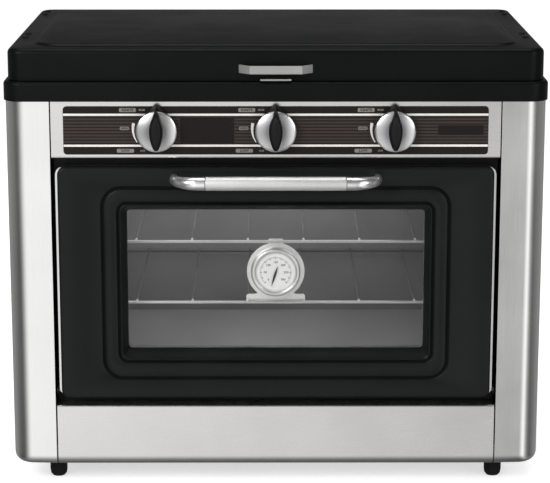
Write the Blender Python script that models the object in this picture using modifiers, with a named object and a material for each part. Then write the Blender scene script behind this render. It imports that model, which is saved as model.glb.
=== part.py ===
# Camping stove with an oven: two burners under a lid, an oven with a drop-down glass door,
# three gas valves with push-and-turn knobs. Metres, Z up, front towards -Y.
# Everything is worked out in the body's frame: X = 0 and Y = 0 at the middle of the hob tray,
# Z = 0 under the feet. The root empty then centres the whole object on its bounding box.
import math

import bmesh
import bpy
from mathutils import Matrix, Vector

# overall sizes
TRAY_WIDTH = 0.538
TRAY_DEPTH = 0.357
BODY_WIDTH = 0.5356
BODY_DEPTH = 0.351
LID_WIDTH = 0.5296
LID_DEPTH = 0.341
FOOT_HEIGHT = 0.021
TRAY_BOTTOM = 0.3969
TRAY_RIM_HEIGHT = 0.0191
LID_SKIRT = 0.0335
LID_EMBOSS_RISE = 0.002

# sheet metal and clearances
SHEET = 0.001
TRAY_SHEET = 0.0009
GAP = 0.0003
SEAM = 0.0012
OVERRUN = 0.002
FLANGE = 0.022
BEND = 0.002
BODY_CORNER = 0.016
BOTTOM_BEND = 0.011
TRAY_CORNER = 0.019
LID_CORNER = 0.016
CORNER_STEPS = 3
BEND_STEPS = 3
ROUND_STEPS = 16
KNOB_STEPS = 22
SMALL_STEPS = 10
BASE_FLANGE = 0.048
SEAM_INSET = 0.0454

# tray and lid details
TRAY_SHOULDER = 0.003
TRAY_SHELF = 0.007
TRAY_FLOOR = 0.400
TRAY_FLOOR_BEND = 0.004
LID_BEND = 0.005
EMBOSS_INSET = 0.022
EMBOSS_RUN = 0.006
EMBOSS_CORNER = 0.024
RIVET_X = 0.255
RIVET_SPREAD = 0.030
GUARD_HINGE_Y = (-0.067, 0.131)
RIVET_R = 0.002
RIVET_HEAD_R = 0.0035
RIVET_HEAD = 0.0011
GUARD_WIDTH = 0.225
GUARD_FRONT = -0.098
GUARD_REAR = 0.160
GUARD_SLOPE = 0.060
GUARD_SHEET = 0.001
GUARD_DROP = 0.0045
LEAF_WIDTH = 0.009
LEAF_LENGTH = 0.044
GUARD_KNUCKLE_R = 0.0022

# front panels
BASE_TOP = 0.0853
FASCIA_BOTTOM = 0.3398
PLATE_MARGIN = 0.0129
PLATE_HEIGHT = 0.048
PLATE_THICK = 0.0008
PLATE_CORNER = 0.0034
CONTROL_RISE = 0.0282
KNOB_PITCH = 0.1173
SHAFT_HOLE_R = 0.0075

# oven
OVEN_WALL_INSET = 0.0184
OVEN_FLOOR = 0.101
OVEN_ROOF = 0.321
OVEN_BACK = 0.096
OVEN_CORNER = 0.008
OVEN_LIP = 0.008
FRAME_Y = -0.1555
FRAME_THICK = 0.0012
FRAME_INSET = 0.001
RACK_FRONT = -0.143
RACK_DEPTH = 0.232
RACK_CLEARANCE = 0.004
RACK_ZS = (0.248, 0.1846)
RACK_WIRE_R = 0.0015
RACK_BAR_R = 0.0012
RACK_BAR_PITCH = 0.0564
RACK_BARS = 6
LEDGE_WIDTH = 0.008
LEDGE_THICK = 0.0012

# door
DOOR_INSET = 0.0025
DOOR_BOTTOM = 0.0941
DOOR_TOP = 0.3315
DOOR_FRONT = -0.179
DOOR_CORNER = 0.008
DOOR_BEND = 0.0028
DOOR_RETURN = 0.0078
GROOVE_MARGIN = 0.0441
GROOVE_BOTTOM = 0.115
GROOVE_TOP = 0.3107
GROOVE_CORNER = 0.019
GROOVE_WIDTH = 0.0036
GROOVE_DEPTH = 0.0014
WINDOW_MARGIN = 0.0182
WINDOW_BOTTOM = 0.135
WINDOW_TOP = 0.2925
WINDOW_CORNER = 0.006
GLASS_SIGHT_MARGIN = 0.0056
GLASS_SIGHT_BOTTOM = 0.143
GLASS_SIGHT_TOP = 0.287
GLASS_SIGHT_CORNER = 0.0035
WINDOW_DEPTH = 0.010
GLASS_LAP = 0.005
GLASS_THICK = 0.004
LINER_CLEARANCE = 0.0024
LINER_INSET = 0.0006
LINER_BACK = -0.157
LINER_LIP = 0.005
LINER_ROLL = 0.004
DOOR_AXIS_Y = -0.166
DOOR_AXIS_Z = 0.0995
DOOR_PIN_R = 0.002
DOOR_PIN_OUT = 0.0029
EAR_THICK = 0.0014
EAR_R = 0.006
HANDLE_Z = 0.3216
HANDLE_OUT = 0.033
GRIP_HALF = 0.069
GRIP_R = 0.00675
HANDLE_FOOT_HALF = 0.1005
HANDLE_FOOT_R = 0.0048

# knobs and valves
KNOB_LIFT = 0.0036
SKIRT_R = 0.0215
SKIRT_THICK = 0.003
SKIRT_TIP = 0.0262
TRIM_R = 0.0202
TRIM_FACE_R = 0.0165
TRIM_THICK = 0.0065
BLADE_TOP = 0.0245
BLADE_BOTTOM = 0.0178
BLADE_HALF = 0.0068
BLADE_OUT = 0.019
BLADE_TAPER_SHARE = 0.74
STEM_R = 0.003
STEM_FLAT = 0.0022
STEM_IN_KNOB = 0.014
STEM_IN_PLUG = 0.010
KNOB_PUSH = 0.003
PLUG_R = 0.006
PLUG_LENGTH = 0.026
VALVE_R = 0.0095
VALVE_LENGTH = 0.036
VALVE_FLANGE_R = 0.015
VALVE_FLANGE = 0.0015
PIPE_R = 0.007

PIPE_END = 0.170
INLET_X = 0.205
INLET_R = 0.0085

# slots in the back panel
VENT_WIDTH = 0.052
VENT_HEIGHT = 0.007
VENT_PITCH_X = 0.074
VENT_PITCH_Z = 0.020
VENT_TOP = 0.355
VENT_COLUMNS = 4
VENT_ROWS = 3

# hinge of the lid
HINGE_Y = 0.1836
HINGE_Z = 0.4150
KNUCKLE_R = 0.0035
HINGE_PIN_R = 0.0015
HINGE_LENGTH = 0.400
HINGE_KNUCKLES = 5
HINGE_SHEET = 0.0012
HINGE_LEAF_LOW = 0.399
HINGE_LEAF_HIGH = 0.438

# burners and grate
BURNER_X = 0.125
BURNER_Y = 0.005
BURNER_R = 0.031
BURNER_TOP = 0.4165
THROAT_R = 0.013
VENTURI_R = 0.009
VENTURI_Z = 0.384
CAP_R = 0.026
CAP_THICK = 0.005
GRATE_HALF_X = 0.235
GRATE_HALF_Y = 0.135
GRATE_Z = 0.430
GRATE_R = 0.003
GRATE_BAR_R = 0.0025
GRATE_BARS = 3
GRATE_CORNER = 0.02
OVEN_BURNER_Z = 0.0745
OVEN_BURNER_R = 0.009
BURNER_SLOT_HALF = 0.030
HEAT_PLATE_CLEARANCE = 0.018
HEAT_PLATE_Z = 0.118
FEED_R = 0.003
FEED_DROP = 0.012

# small pieces
FOOT_INSET = 0.0428
FOOT_Y = 0.140
FOOT_R = 0.0089
FOOT_TIP_R = 0.0062
GAUGE_Z = 0.217
GAUGE_R = 0.0295
GAUGE_FOOT_HALF = 0.030
GAUGE_FOOT_Z = 0.1845
GAUGE_FOOT_HEIGHT = 0.0085
GAUGE_SHEET = 0.0008
HOOK_HALF = 0.007
BEZEL_R = 0.0252
DIAL_R = 0.0198
BEZEL_DEPTH = 0.006
NEEDLE_LONG = 0.0155
NEEDLE_SHORT = 0.0075
NEEDLE_HALF = 0.0012
NEEDLE_THICK = 0.0005
STRAP_HALF = 0.0365
STRAP_TAB = 0.003
STRAP_FLAT_HALF = 0.026
STRAP_Z = 0.4285
STRAP_HEIGHT = 0.0082
STRAP_OUT = 0.010
LATCH_HALF = 0.0155
LATCH_REACH_SHARE = 0.7
CARRY_Z = 0.330
CARRY_PLATE_HALF = 0.060
CARRY_PLATE_HEIGHT = 0.026
CARRY_HALF = 0.050
CARRY_DROP = 0.036
CARRY_R = 0.0025
CARRY_EAR_R = 0.0047

# shares of the sizes above
FOOT_COLLAR_SHARE = 0.3
FOOT_TAPER_SHARE = 0.93
FOOT_TAPER_HEIGHT_SHARE = 0.12
RIVET_CROWN_SHARE = 0.9
RACK_WELD_SHARE = 0.6
HANDLE_BEND_SHARE = 0.72
HANDLE_END_SHARE = 0.96
LEAF_UPPER_SHARES = ((0.42, 0.84), (0.8, 0.5), (1, 0.08))
LEAF_LOWER_SHARES = ((0.93, 0.38), (0.62, 0.82))
SKIRT_TIP_SHARE = 0.05
TRIM_DISH_SHARE = 0.8
TRIM_DISH_R_SHARE = 0.9
TRIM_RIM_SHARE = 0.25
TRIM_RIM_HEIGHT_SHARE = 0.45
BURNER_MOUTH_SHARE = 0.7
BURNER_CROWN_SHARE = 0.86
BURNER_BASE_SHARE = 0.8
VENTURI_SHARES = (1, 0.85, 0.8, 0.8)
CAP_TOP_SHARE = 0.8
CAP_EDGE_SHARE = 0.6
CAP_COLLAR_SHARE = 0.66
CAP_SPIGOT_SHARE = 0.6
GRATE_LEG_SHARE = 0.9
BEZEL_EDGE_SHARE = 0.35
TAB_ROOT_SHARE = 0.9
NEEDLE_TIP_SHARE = 0.3
NEEDLE_TAIL_SHARE = 0.7
CARRY_EAR_SHARE = 0.99
CARRY_EAR_WIDTH_SHARE = 0.95
CARRY_FIT_SHARE = 0.98

# places that follow from these
FRONT = -BODY_DEPTH / 2
REAR = BODY_DEPTH / 2
SIDE = BODY_WIDTH / 2
SEAM_HALF = SIDE - SEAM_INSET
PLATE_WIDTH = 2 * (SEAM_HALF - PLATE_MARGIN)
FRAME_HALF = SEAM_HALF - FRAME_INSET
OVEN_HALF = FRAME_HALF - OVEN_WALL_INSET
RACK_HALF = OVEN_HALF - RACK_CLEARANCE
HEAT_PLATE_HALF = OVEN_HALF - HEAT_PLATE_CLEARANCE
LINER_HALF = FRAME_HALF - LINER_CLEARANCE
DOOR_HALF = LINER_HALF - DOOR_INSET
GROOVE_HALF = DOOR_HALF - GROOVE_MARGIN
WINDOW_HALF = GROOVE_HALF - WINDOW_MARGIN
GLASS_SIGHT_HALF = WINDOW_HALF - GLASS_SIGHT_MARGIN
FOOT_X = SIDE - FOOT_INSET
LIP_TOP = TRAY_BOTTOM + TRAY_RIM_HEIGHT
LID_BOTTOM = LIP_TOP + GAP
LID_RIM = LID_BOTTOM + LID_SKIRT - LID_EMBOSS_RISE
PANEL_TOP = LIP_TOP - 2 * TRAY_SHOULDER
FLANGE_TOP = TRAY_FLOOR - TRAY_SHEET - GAP
FRAME_BOTTOM = BASE_TOP + GAP
FRAME_TOP = FASCIA_BOTTOM - GAP
CONTROL_Z = FASCIA_BOTTOM + CONTROL_RISE
PLATE_FACE = FRONT - GAP - PLATE_THICK
GRIP_Y = DOOR_FRONT - HANDLE_OUT
ROOT_Y = (-(GRIP_Y - GRIP_R) - (HINGE_Y + KNUCKLE_R)) / 2

for thing in list(bpy.data.objects):
    bpy.data.objects.remove(thing, do_unlink=True)

parts = bpy.data.collections.new("camping_stove_with_oven")
cutters = bpy.data.collections.new("cutters")
bpy.context.scene.collection.children.link(parts)
bpy.context.scene.collection.children.link(cutters)

root = bpy.data.objects.new("stove_root", None)
parts.objects.link(root)
root.location = (0, ROOT_Y, 0)


def finish(name, colour, metallic, roughness):
    # A plain Principled BSDF material with the piece's own colour
    material = bpy.data.materials.new(name)
    material.use_nodes = True
    shader = material.node_tree.nodes["Principled BSDF"]
    shader.inputs["Base Color"].default_value = (*colour, 1)
    shader.inputs["Metallic"].default_value = metallic
    shader.inputs["Roughness"].default_value = roughness
    return material


FINISHES = {
    "black": ((0.02, 0.02, 0.02), 0, 0.45),
    "steel": ((0.62, 0.62, 0.61), 1, 0.32),
    "chrome": ((0.8, 0.8, 0.8), 1, 0.1),
    "rubber": ((0.012, 0.012, 0.012), 0, 0.8),
    "brass": ((0.6, 0.42, 0.15), 1, 0.3),
    "cast": ((0.35, 0.35, 0.36), 1, 0.5),
    "grey": ((0.11, 0.11, 0.11), 0, 0.6),
    "glass": ((0.2, 0.21, 0.21), 0, 0.05),
    "white": ((0.8, 0.8, 0.78), 0, 0.5),
}


def link(name, mesh, look):
    # A new object of the part, with a material of its own
    thing = bpy.data.objects.new(name, mesh)
    mesh.materials.clear()
    mesh.materials.append(finish(name, *FINISHES[look]))
    parts.objects.link(thing)
    thing.parent = root
    return thing


def mesh_of(name, points, faces):
    mesh = bpy.data.meshes.new(name)
    mesh.from_pydata(points, [], faces)
    mesh.update()
    return mesh


def hide_as_cutter(thing):
    # Operands of Booleans stay in a collection of their own, drawn as wires
    for owner in list(thing.users_collection):
        owner.objects.unlink(thing)
    cutters.objects.link(thing)
    thing.hide_render = True
    thing.display_type = "WIRE"


def combine(target, operation, *operands):
    for operand in operands:
        step = target.modifiers.new(operation.lower(), "BOOLEAN")
        step.operation = operation
        step.object = operand
        step.solver = "EXACT"
        hide_as_cutter(operand)
    return target


def cut(target, *operands):
    return combine(target, "DIFFERENCE", *operands)


def fuse(target, *operands):
    return combine(target, "UNION", *operands)


def thicken(thing, thickness):
    # Sheet metal: the modelled surface is the outer face, the thickness goes behind it
    wall = thing.modifiers.new("sheet", "SOLIDIFY")
    wall.thickness = thickness
    wall.offset = -1
    wall.use_even_offset = True
    return thing


def face_front(thing):
    # Turns what was drawn flat, seen from above, so that it faces the front
    thing.data.transform(Matrix.Rotation(math.radians(90), 4, "X"))
    return thing


def face_side(thing):
    # Turns what was drawn flat so that its x runs along Y, its y along Z and its thickness along X
    turn = Matrix(((0, 0, 1, 0), (1, 0, 0, 0), (0, 1, 0, 0), (0, 0, 0, 1)))
    thing.data.transform(turn)
    return thing


def shift(thing, x=0, y=0, z=0):
    thing.data.transform(Matrix.Translation((x, y, z)))
    return thing


def smooth(thing):
    thing.data.shade_smooth()
    thing.data.set_sharp_from_angle(angle=math.radians(35))
    return thing


def block(name, low, high, look="steel"):
    # A box between two corners
    shape = bmesh.new()
    bmesh.ops.create_cube(shape, size=1)
    size = Vector(high) - Vector(low)
    middle = (Vector(high) + Vector(low)) / 2
    bmesh.ops.scale(shape, vec=size, verts=shape.verts)
    bmesh.ops.translate(shape, vec=middle, verts=shape.verts)
    mesh = bpy.data.meshes.new(name)
    shape.to_mesh(mesh)
    shape.free()
    return link(name, mesh, look)


def cylinder(name, radius, low, high, axis, at=(0, 0, 0), steps=ROUND_STEPS, look="steel"):
    # A round bar from low to high along one axis, through the point at
    shape = bmesh.new()
    bmesh.ops.create_cone(shape, cap_ends=True, segments=steps, radius1=radius,
                          radius2=radius, depth=high - low)
    middle = (high + low) / 2
    turn = {"X": ("Y", 90), "Y": ("X", 90), "Z": ("Z", 0)}[axis]
    place = {"X": (middle, at[1], at[2]), "Y": (at[0], middle, at[2]),
             "Z": (at[0], at[1], middle)}[axis]
    bmesh.ops.transform(shape, matrix=Matrix.Rotation(math.radians(turn[1]), 4, turn[0]),
                        verts=shape.verts)
    bmesh.ops.translate(shape, vec=place, verts=shape.verts)
    mesh = bpy.data.meshes.new(name)
    shape.to_mesh(mesh)
    shape.free()
    return smooth(link(name, mesh, look))


def arc(centre, radius, start, stop, steps):
    # Points on an arc, angles in degrees
    turns = [math.radians(start + (stop - start) * step / steps) for step in range(steps + 1)]
    return [(centre[0] + radius * math.cos(turn), centre[1] + radius * math.sin(turn)) for turn in turns]


def rounded(half_x, half_y, radius, steps=CORNER_STEPS):
    # A rectangle with round corners, anticlockwise, always with the same number of points
    points = []
    for sign_x, sign_y, start in ((1, 1, 0), (-1, 1, 90), (-1, -1, 180), (1, -1, 270)):
        centre = (sign_x * (half_x - radius), sign_y * (half_y - radius))
        points += arc(centre, radius, start, start + 90, steps)
    return points


def filleted(points, radius, steps=BEND_STEPS):
    # An open line whose inner corners are rounded
    line = [tuple(points[0])]
    for before, corner, after in zip(points, points[1:], points[2:]):
        back = (Vector(before) - Vector(corner)).normalized()
        on = (Vector(after) - Vector(corner)).normalized()
        half = back.angle(on) / 2
        reach = radius / math.tan(half)
        centre = Vector(corner) + (back + on).normalized() * (radius / math.sin(half))
        first = Vector(corner) + back * reach - centre
        last = Vector(corner) + on * reach - centre
        sweep = first.angle_signed(last)
        for step in range(steps + 1):
            turn = -sweep * step / steps
            spoke = Vector((first.x * math.cos(turn) - first.y * math.sin(turn),
                            first.x * math.sin(turn) + first.y * math.cos(turn)))
            line.append(tuple(centre + spoke))
    return line + [tuple(points[-1])]


def loft(name, rings, look, cap_first=False, cap_last=False, closed=True):
    # A surface through rings that all have the same number of points
    count = len(rings[0])
    points = [point for ring in rings for point in ring]
    faces = []
    for level in range(len(rings) - 1):
        for step in range(count if closed else count - 1):
            low, high = level * count, (level + 1) * count
            on = (step + 1) % count
            faces.append((low + step, low + on, high + on, high + step))
    if cap_first:
        faces.append(tuple(reversed(range(count))))
    if cap_last:
        start = (len(rings) - 1) * count
        faces.append(tuple(range(start, start + count)))
    return link(name, mesh_of(name, points, faces), look)


def levels(*rows):
    # Rings of round-cornered rectangles: half width, half depth, corner, height, middle in y
    return [[(x, y + row[4], row[3]) for x, y in rounded(*row[:3])] for row in rows]


def bend(half_x, half_y, corner, z, radius, middle, start, stop, sign_in, sign_up):
    # The rings of a sheet's bend: start and stop are angles on its quarter round
    rows = []
    for step in range(BEND_STEPS + 1):
        turn = math.radians(start + (stop - start) * step / BEND_STEPS)
        inset = sign_in * radius * (1 - math.cos(turn))
        rise = sign_up * radius * math.sin(turn)
        rows.append((half_x - inset, half_y - inset, max(corner - inset, BEND), z + rise, middle))
    return rows


def folded(name, path, low_x, high_x, look, thickness=SHEET):
    # Bent sheet: a line in the side view, carried across from low_x to high_x
    points = [(x, y, z) for y, z in path for x in (low_x, high_x)]
    faces = [(2 * i, 2 * i + 1, 2 * i + 3, 2 * i + 2) for i in range(len(path) - 1)]
    return thicken(link(name, mesh_of(name, points, faces), look), thickness)


def flat(name, outline, thickness, look, holes=()):
    # A plate drawn from above: an outline with holes, resting on Z = 0
    drawing = bpy.data.curves.new(name, "CURVE")
    drawing.dimensions = "2D"
    drawing.fill_mode = "BOTH"
    drawing.extrude = thickness / 2
    for line in (outline, *holes):
        spline = drawing.splines.new("POLY")
        spline.points.add(len(line) - 1)
        for point, (x, y) in zip(spline.points, line):
            point.co = (x, y, 0, 1)
        spline.use_cyclic_u = True
    return shift(from_curve(name, drawing, look), z=thickness / 2)


def from_curve(name, drawing, look):
    # Turns a curve into a closed mesh whose caps are welded on
    sketch = bpy.data.objects.new(name + "_line", drawing)
    parts.objects.link(sketch)
    graph = bpy.context.evaluated_depsgraph_get()
    mesh = bpy.data.meshes.new_from_object(sketch.evaluated_get(graph))
    mesh.transform(sketch.matrix_world)
    bpy.data.objects.remove(sketch, do_unlink=True)
    shape = bmesh.new()
    shape.from_mesh(mesh)
    bmesh.ops.remove_doubles(shape, verts=shape.verts, dist=GAP / 100)
    bmesh.ops.recalc_face_normals(shape, faces=shape.faces)
    shape.to_mesh(mesh)
    shape.free()
    return link(name, mesh, look)


def rod(name, points, radius, look, closed=False, radii=None, sides=2):
    # A wire or tube along points
    drawing = bpy.data.curves.new(name, "CURVE")
    drawing.dimensions = "3D"
    drawing.bevel_depth = radius
    drawing.bevel_resolution = sides
    drawing.use_fill_caps = True
    spline = drawing.splines.new("POLY")
    spline.points.add(len(points) - 1)
    for index, place in enumerate(points):
        spline.points[index].co = (*place, 1)
        spline.points[index].radius = radii[index] if radii else 1
    spline.use_cyclic_u = closed
    return smooth(from_curve(name, drawing, look))


def turned(name, profile, look, steps=ROUND_STEPS):
    # A round body: its profile runs from the top of the axis down the outer side to the bottom
    mesh = mesh_of(name, [(r, 0, z) for r, z in profile], [])
    mesh.edges.add(len(profile) - 1)
    for index, edge in enumerate(mesh.edges):
        edge.vertices = (index, index + 1)
    thing = link(name, mesh, look)
    screw = thing.modifiers.new("turn", "SCREW")
    screw.axis = "Z"
    screw.steps = steps
    screw.render_steps = steps
    screw.use_merge_vertices = True
    screw.merge_threshold = GAP / 100
    screw.use_smooth_shade = False
    return smooth(applied(thing))


def applied(thing):
    # Puts what the modifiers make into the object's own mesh
    graph = bpy.context.evaluated_depsgraph_get()
    mesh = bpy.data.meshes.new_from_object(thing.evaluated_get(graph))
    thing.modifiers.clear()
    thing.data = mesh
    return thing


def circle(x, y, radius, steps=ROUND_STEPS):
    return [(x + radius * math.cos(2 * math.pi * step / steps),
             y + radius * math.sin(2 * math.pi * step / steps)) for step in range(steps)]


def baked(thing, name, look):
    # A new object from what the modifiers make
    graph = bpy.context.evaluated_depsgraph_get()
    mesh = bpy.data.meshes.new_from_object(thing.evaluated_get(graph))
    return link(name, mesh, look)


def mirrored(thing, name, look):
    # The right-hand twin of a left-hand piece
    twin = baked(thing, name, look)
    shape = bmesh.new()
    shape.from_mesh(twin.data)
    bmesh.ops.scale(shape, vec=(-1, 1, 1), verts=shape.verts)
    bmesh.ops.reverse_faces(shape, faces=shape.faces)
    shape.to_mesh(twin.data)
    shape.free()
    return twin


def axis_at(name, place):
    # An empty on a joint's axis
    pivot = bpy.data.objects.new(name, None)
    parts.objects.link(pivot)
    pivot.parent = root
    pivot.location = place
    return pivot


def hang_on(pivot, *things):
    # Gives pieces their origin on the joint's axis, with their shape where it was
    for thing in things:
        shift(thing, *(-value for value in pivot.location))
        thing.parent = pivot


# Casing

def side_panel():
    # Half of a round-cornered tub: side, front and rear strips, bottom flange
    def line(inset, z):
        # From the front strip's edge, round both corners, to the rear strip's edge
        half_x, half_y = SIDE - inset, BODY_DEPTH / 2 - inset
        corner = max(BODY_CORNER - inset, BEND)
        edge = SEAM_HALF + SEAM / 2
        front = arc((-half_x + corner, -half_y + corner), corner, 270, 180, CORNER_STEPS)
        back = arc((-half_x + corner, half_y - corner), corner, 180, 90, CORNER_STEPS)
        return [(x, y, z) for x, y in [(-edge, -half_y), *front, *back, (-edge, half_y)]]
    rows = []
    for step in range(BEND_STEPS + 1):
        turn = math.radians(90 * step / BEND_STEPS)
        rows.append(line(BOTTOM_BEND * (1 - math.sin(turn)),
                         FOOT_HEIGHT + BOTTOM_BEND * (1 - math.cos(turn))))
    rows.append(line(0, PANEL_TOP))
    left = loft("side_panel_left", [list(reversed(row)) for row in rows], "steel", cap_first=True,
                closed=False)
    thicken(left, SHEET)
    return smooth(left)


left_panel = side_panel()
right_panel = mirrored(left_panel, "side_panel_right", "steel")

pan_x = SIDE - SHEET - GAP
pan_y = BODY_DEPTH / 2 - SHEET - GAP
pan_bend = BOTTOM_BEND - SHEET - GAP
pan_rows = []
for pan_step in range(BEND_STEPS + 1):
    pan_turn = math.radians(90 * pan_step / BEND_STEPS)
    pan_inset = pan_bend * (1 - math.sin(pan_turn))
    pan_rows.append((pan_x - pan_inset, pan_y - pan_inset, BODY_CORNER - SHEET - GAP - pan_inset,
                     FOOT_HEIGHT + SHEET + GAP + pan_bend * (1 - math.cos(pan_turn)), 0))
pan_rows.append((pan_x, pan_y, BODY_CORNER - SHEET - GAP, FOOT_HEIGHT + FLANGE, 0))
thicken(loft("base_pan", levels(*pan_rows), "grey", cap_first=True), SHEET)

strip = SEAM_HALF - SEAM / 2
base_path = [(FRONT + BASE_FLANGE, FOOT_HEIGHT), (FRONT, FOOT_HEIGHT), (FRONT, BASE_TOP)]
base_line = filleted(base_path, BOTTOM_BEND)
top_line = filleted([(FRONT, BASE_TOP - FLANGE), (FRONT, BASE_TOP), (FRONT + FLANGE, BASE_TOP)], BEND)
folded("base_front_panel", base_line[:-1] + top_line[1:], -strip, strip, "steel")

back_line = (filleted([(REAR - FLANGE, FLANGE_TOP), (REAR, FLANGE_TOP), (REAR, FOOT_HEIGHT + BASE_FLANGE)],
                      BEND)[:-1]
             + filleted([(REAR, FOOT_HEIGHT + BASE_FLANGE), (REAR, FOOT_HEIGHT),
                         (REAR - BASE_FLANGE, FOOT_HEIGHT)], BOTTOM_BEND)[1:])
back_panel = folded("back_panel", back_line, -strip, strip, "steel")

vents = []
for column in range(VENT_COLUMNS):
    for row in range(VENT_ROWS):
        vent_x = (column - (VENT_COLUMNS - 1) / 2) * VENT_PITCH_X
        vent_z = VENT_TOP - row * VENT_PITCH_Z
        vents.append([(vent_x + x, vent_z + z) for x, z in rounded(VENT_WIDTH / 2, VENT_HEIGHT / 2,
                                                                  VENT_HEIGHT / 2 - GAP, 1)])
slots = flat("vent_slots", vents[0], SHEET + 2 * OVERRUN, "steel", vents[1:])
cut(back_panel, shift(face_front(slots), y=REAR + OVERRUN))

fascia_line = (filleted([(FRONT + FLANGE, FASCIA_BOTTOM), (FRONT, FASCIA_BOTTOM), (FRONT, CONTROL_Z)],
                        BEND)[:-1]
               + filleted([(FRONT, CONTROL_Z), (FRONT, FLANGE_TOP), (FRONT + FLANGE, FLANGE_TOP)],
                          BEND)[1:])
fascia = folded("control_fascia", fascia_line, -strip, strip, "steel")
for place in (-1, 0, 1):
    cut(fascia, cylinder("shaft_hole", SHAFT_HOLE_R, FRONT - OVERRUN, FRONT + SHEET + OVERRUN, "Y",
                         (place * KNOB_PITCH, 0, CONTROL_Z)))

plate_holes = [circle(place * KNOB_PITCH, 0, SHAFT_HOLE_R) for place in (-1, 0, 1)]
graphic_plate = flat("graphic_plate", rounded(PLATE_WIDTH / 2, PLATE_HEIGHT / 2, PLATE_CORNER),
                     PLATE_THICK, "black", plate_holes)
shift(face_front(graphic_plate), 0, FRONT - GAP, CONTROL_Z)

for name, foot_x, foot_y in (("foot_front_left", -FOOT_X, -FOOT_Y), ("foot_front_right", FOOT_X, -FOOT_Y),
                             ("foot_rear_left", -FOOT_X, FOOT_Y), ("foot_rear_right", FOOT_X, FOOT_Y)):
    top = FOOT_HEIGHT - GAP
    profile = [(0, top), (FOOT_R, top), (FOOT_R, top * FOOT_COLLAR_SHARE),
               (FOOT_R * FOOT_TAPER_SHARE, top * FOOT_TAPER_HEIGHT_SHARE), (FOOT_TIP_R, 0), (0, 0)]
    shift(turned(name, profile, "rubber"), foot_x, foot_y)


# Hob tray: skirt, shoulder, shelf for the lid, inner wall and floor

half_x, half_y = TRAY_WIDTH / 2, TRAY_DEPTH / 2
wall_in = TRAY_SHOULDER + TRAY_SHELF
tray_rows = [(half_x, half_y, TRAY_CORNER, TRAY_BOTTOM, 0)]
tray_rows += bend(half_x, half_y, TRAY_CORNER, LIP_TOP - TRAY_SHOULDER, TRAY_SHOULDER, 0, 0, 90, 1, 1)
tray_rows += [(half_x - wall_in, half_y - wall_in, TRAY_CORNER - wall_in, LIP_TOP, 0)]
floor_in = wall_in + BEND
tray_rows += [(half_x - floor_in, half_y - floor_in, TRAY_CORNER - wall_in, LIP_TOP - BEND, 0),
              (half_x - floor_in, half_y - floor_in, TRAY_CORNER - wall_in, TRAY_FLOOR + TRAY_FLOOR_BEND,
               0),
              (half_x - floor_in - TRAY_FLOOR_BEND, half_y - floor_in - TRAY_FLOOR_BEND,
               TRAY_CORNER - wall_in, TRAY_FLOOR, 0)]
tray = thicken(loft("hob_tray", levels(*tray_rows), "black", cap_last=True), TRAY_SHEET)
smooth(tray)
for place in (-1, 1):
    cut(tray, cylinder("throat_hole", THROAT_R + 2 * BEND, TRAY_FLOOR - OVERRUN - TRAY_SHEET,
                       TRAY_FLOOR + OVERRUN,
                       "Z", (place * BURNER_X, BURNER_Y, 0)))


# Lid with a raised middle, wind guards folded under it

half_x, half_y = LID_WIDTH / 2, LID_DEPTH / 2
lid_rows = [(half_x, half_y, LID_CORNER, LID_BOTTOM, 0)]
lid_rows += bend(half_x, half_y, LID_CORNER, LID_RIM - LID_BEND, LID_BEND, 0, 0, 90, 1, 1)
foot_in = EMBOSS_INSET
top_in = EMBOSS_INSET + EMBOSS_RUN
lid_rows += [(half_x - foot_in, half_y - foot_in, EMBOSS_CORNER, LID_RIM, 0),
             (half_x - top_in, half_y - top_in, EMBOSS_CORNER, LID_RIM + LID_EMBOSS_RISE, 0)]
lid = thicken(loft("lid_shell", levels(*lid_rows), "black", cap_last=True), SHEET)
smooth(lid)


def guard_rivet_places():
    return [(-RIVET_X, middle + sign * RIVET_SPREAD / 2) for middle in GUARD_HINGE_Y for sign in (-1, 1)]


guard_z = LID_RIM - SHEET - GUARD_DROP - GUARD_SHEET
leaf_z = LID_RIM - SHEET - GAP - GUARD_SHEET
guard_edge = RIVET_X - LEAF_WIDTH / 2 - GUARD_KNUCKLE_R
outline = [(-guard_edge, GUARD_FRONT), (-guard_edge, GUARD_REAR), (-guard_edge + GUARD_WIDTH, GUARD_REAR),
           (-guard_edge + GUARD_WIDTH, GUARD_FRONT + GUARD_SLOPE),
           (-guard_edge + GUARD_WIDTH - GUARD_SLOPE, GUARD_FRONT)]
guard = flat("wind_guard_left", list(reversed(outline)), GUARD_SHEET, "black")
shift(guard, z=guard_z)
for hinge_y in GUARD_HINGE_Y:
    leaf = block("guard_leaf", (-RIVET_X - LEAF_WIDTH / 2, hinge_y - LEAF_LENGTH / 2, leaf_z),
                 (-guard_edge - GUARD_SHEET, hinge_y + LEAF_LENGTH / 2, leaf_z + GUARD_SHEET))
    drum = cylinder("guard_knuckle", GUARD_KNUCKLE_R, hinge_y - LEAF_LENGTH / 2, hinge_y + LEAF_LENGTH / 2,
                    "Y",
                    (-guard_edge, 0, leaf_z + GUARD_SHEET - GUARD_KNUCKLE_R), steps=SMALL_STEPS - 2)
    fuse(guard, drum, leaf)
for rivet_x, rivet_y in guard_rivet_places():
    for place in (-1, 1):
        cut(lid, cylinder("rivet_hole", RIVET_R + GAP, LID_RIM - SHEET - OVERRUN, LID_RIM + OVERRUN, "Z",
                          (place * rivet_x, rivet_y, 0), steps=SMALL_STEPS))
    shank = cylinder("rivet_shank", RIVET_R, leaf_z + GAP, LID_RIM + GAP * 2, "Z", (rivet_x, rivet_y, 0),
                     steps=SMALL_STEPS)
    head = turned("rivet_head", [(0, RIVET_HEAD), (RIVET_HEAD_R / 2, RIVET_HEAD * RIVET_CROWN_SHARE),
                                 (RIVET_HEAD_R, 0), (0, 0)],
                  "black", steps=SMALL_STEPS)
    shift(head, rivet_x, rivet_y, LID_RIM + GAP)
    fuse(guard, shank, head)
right_guard = mirrored(guard, "wind_guard_right", "black")


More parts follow.
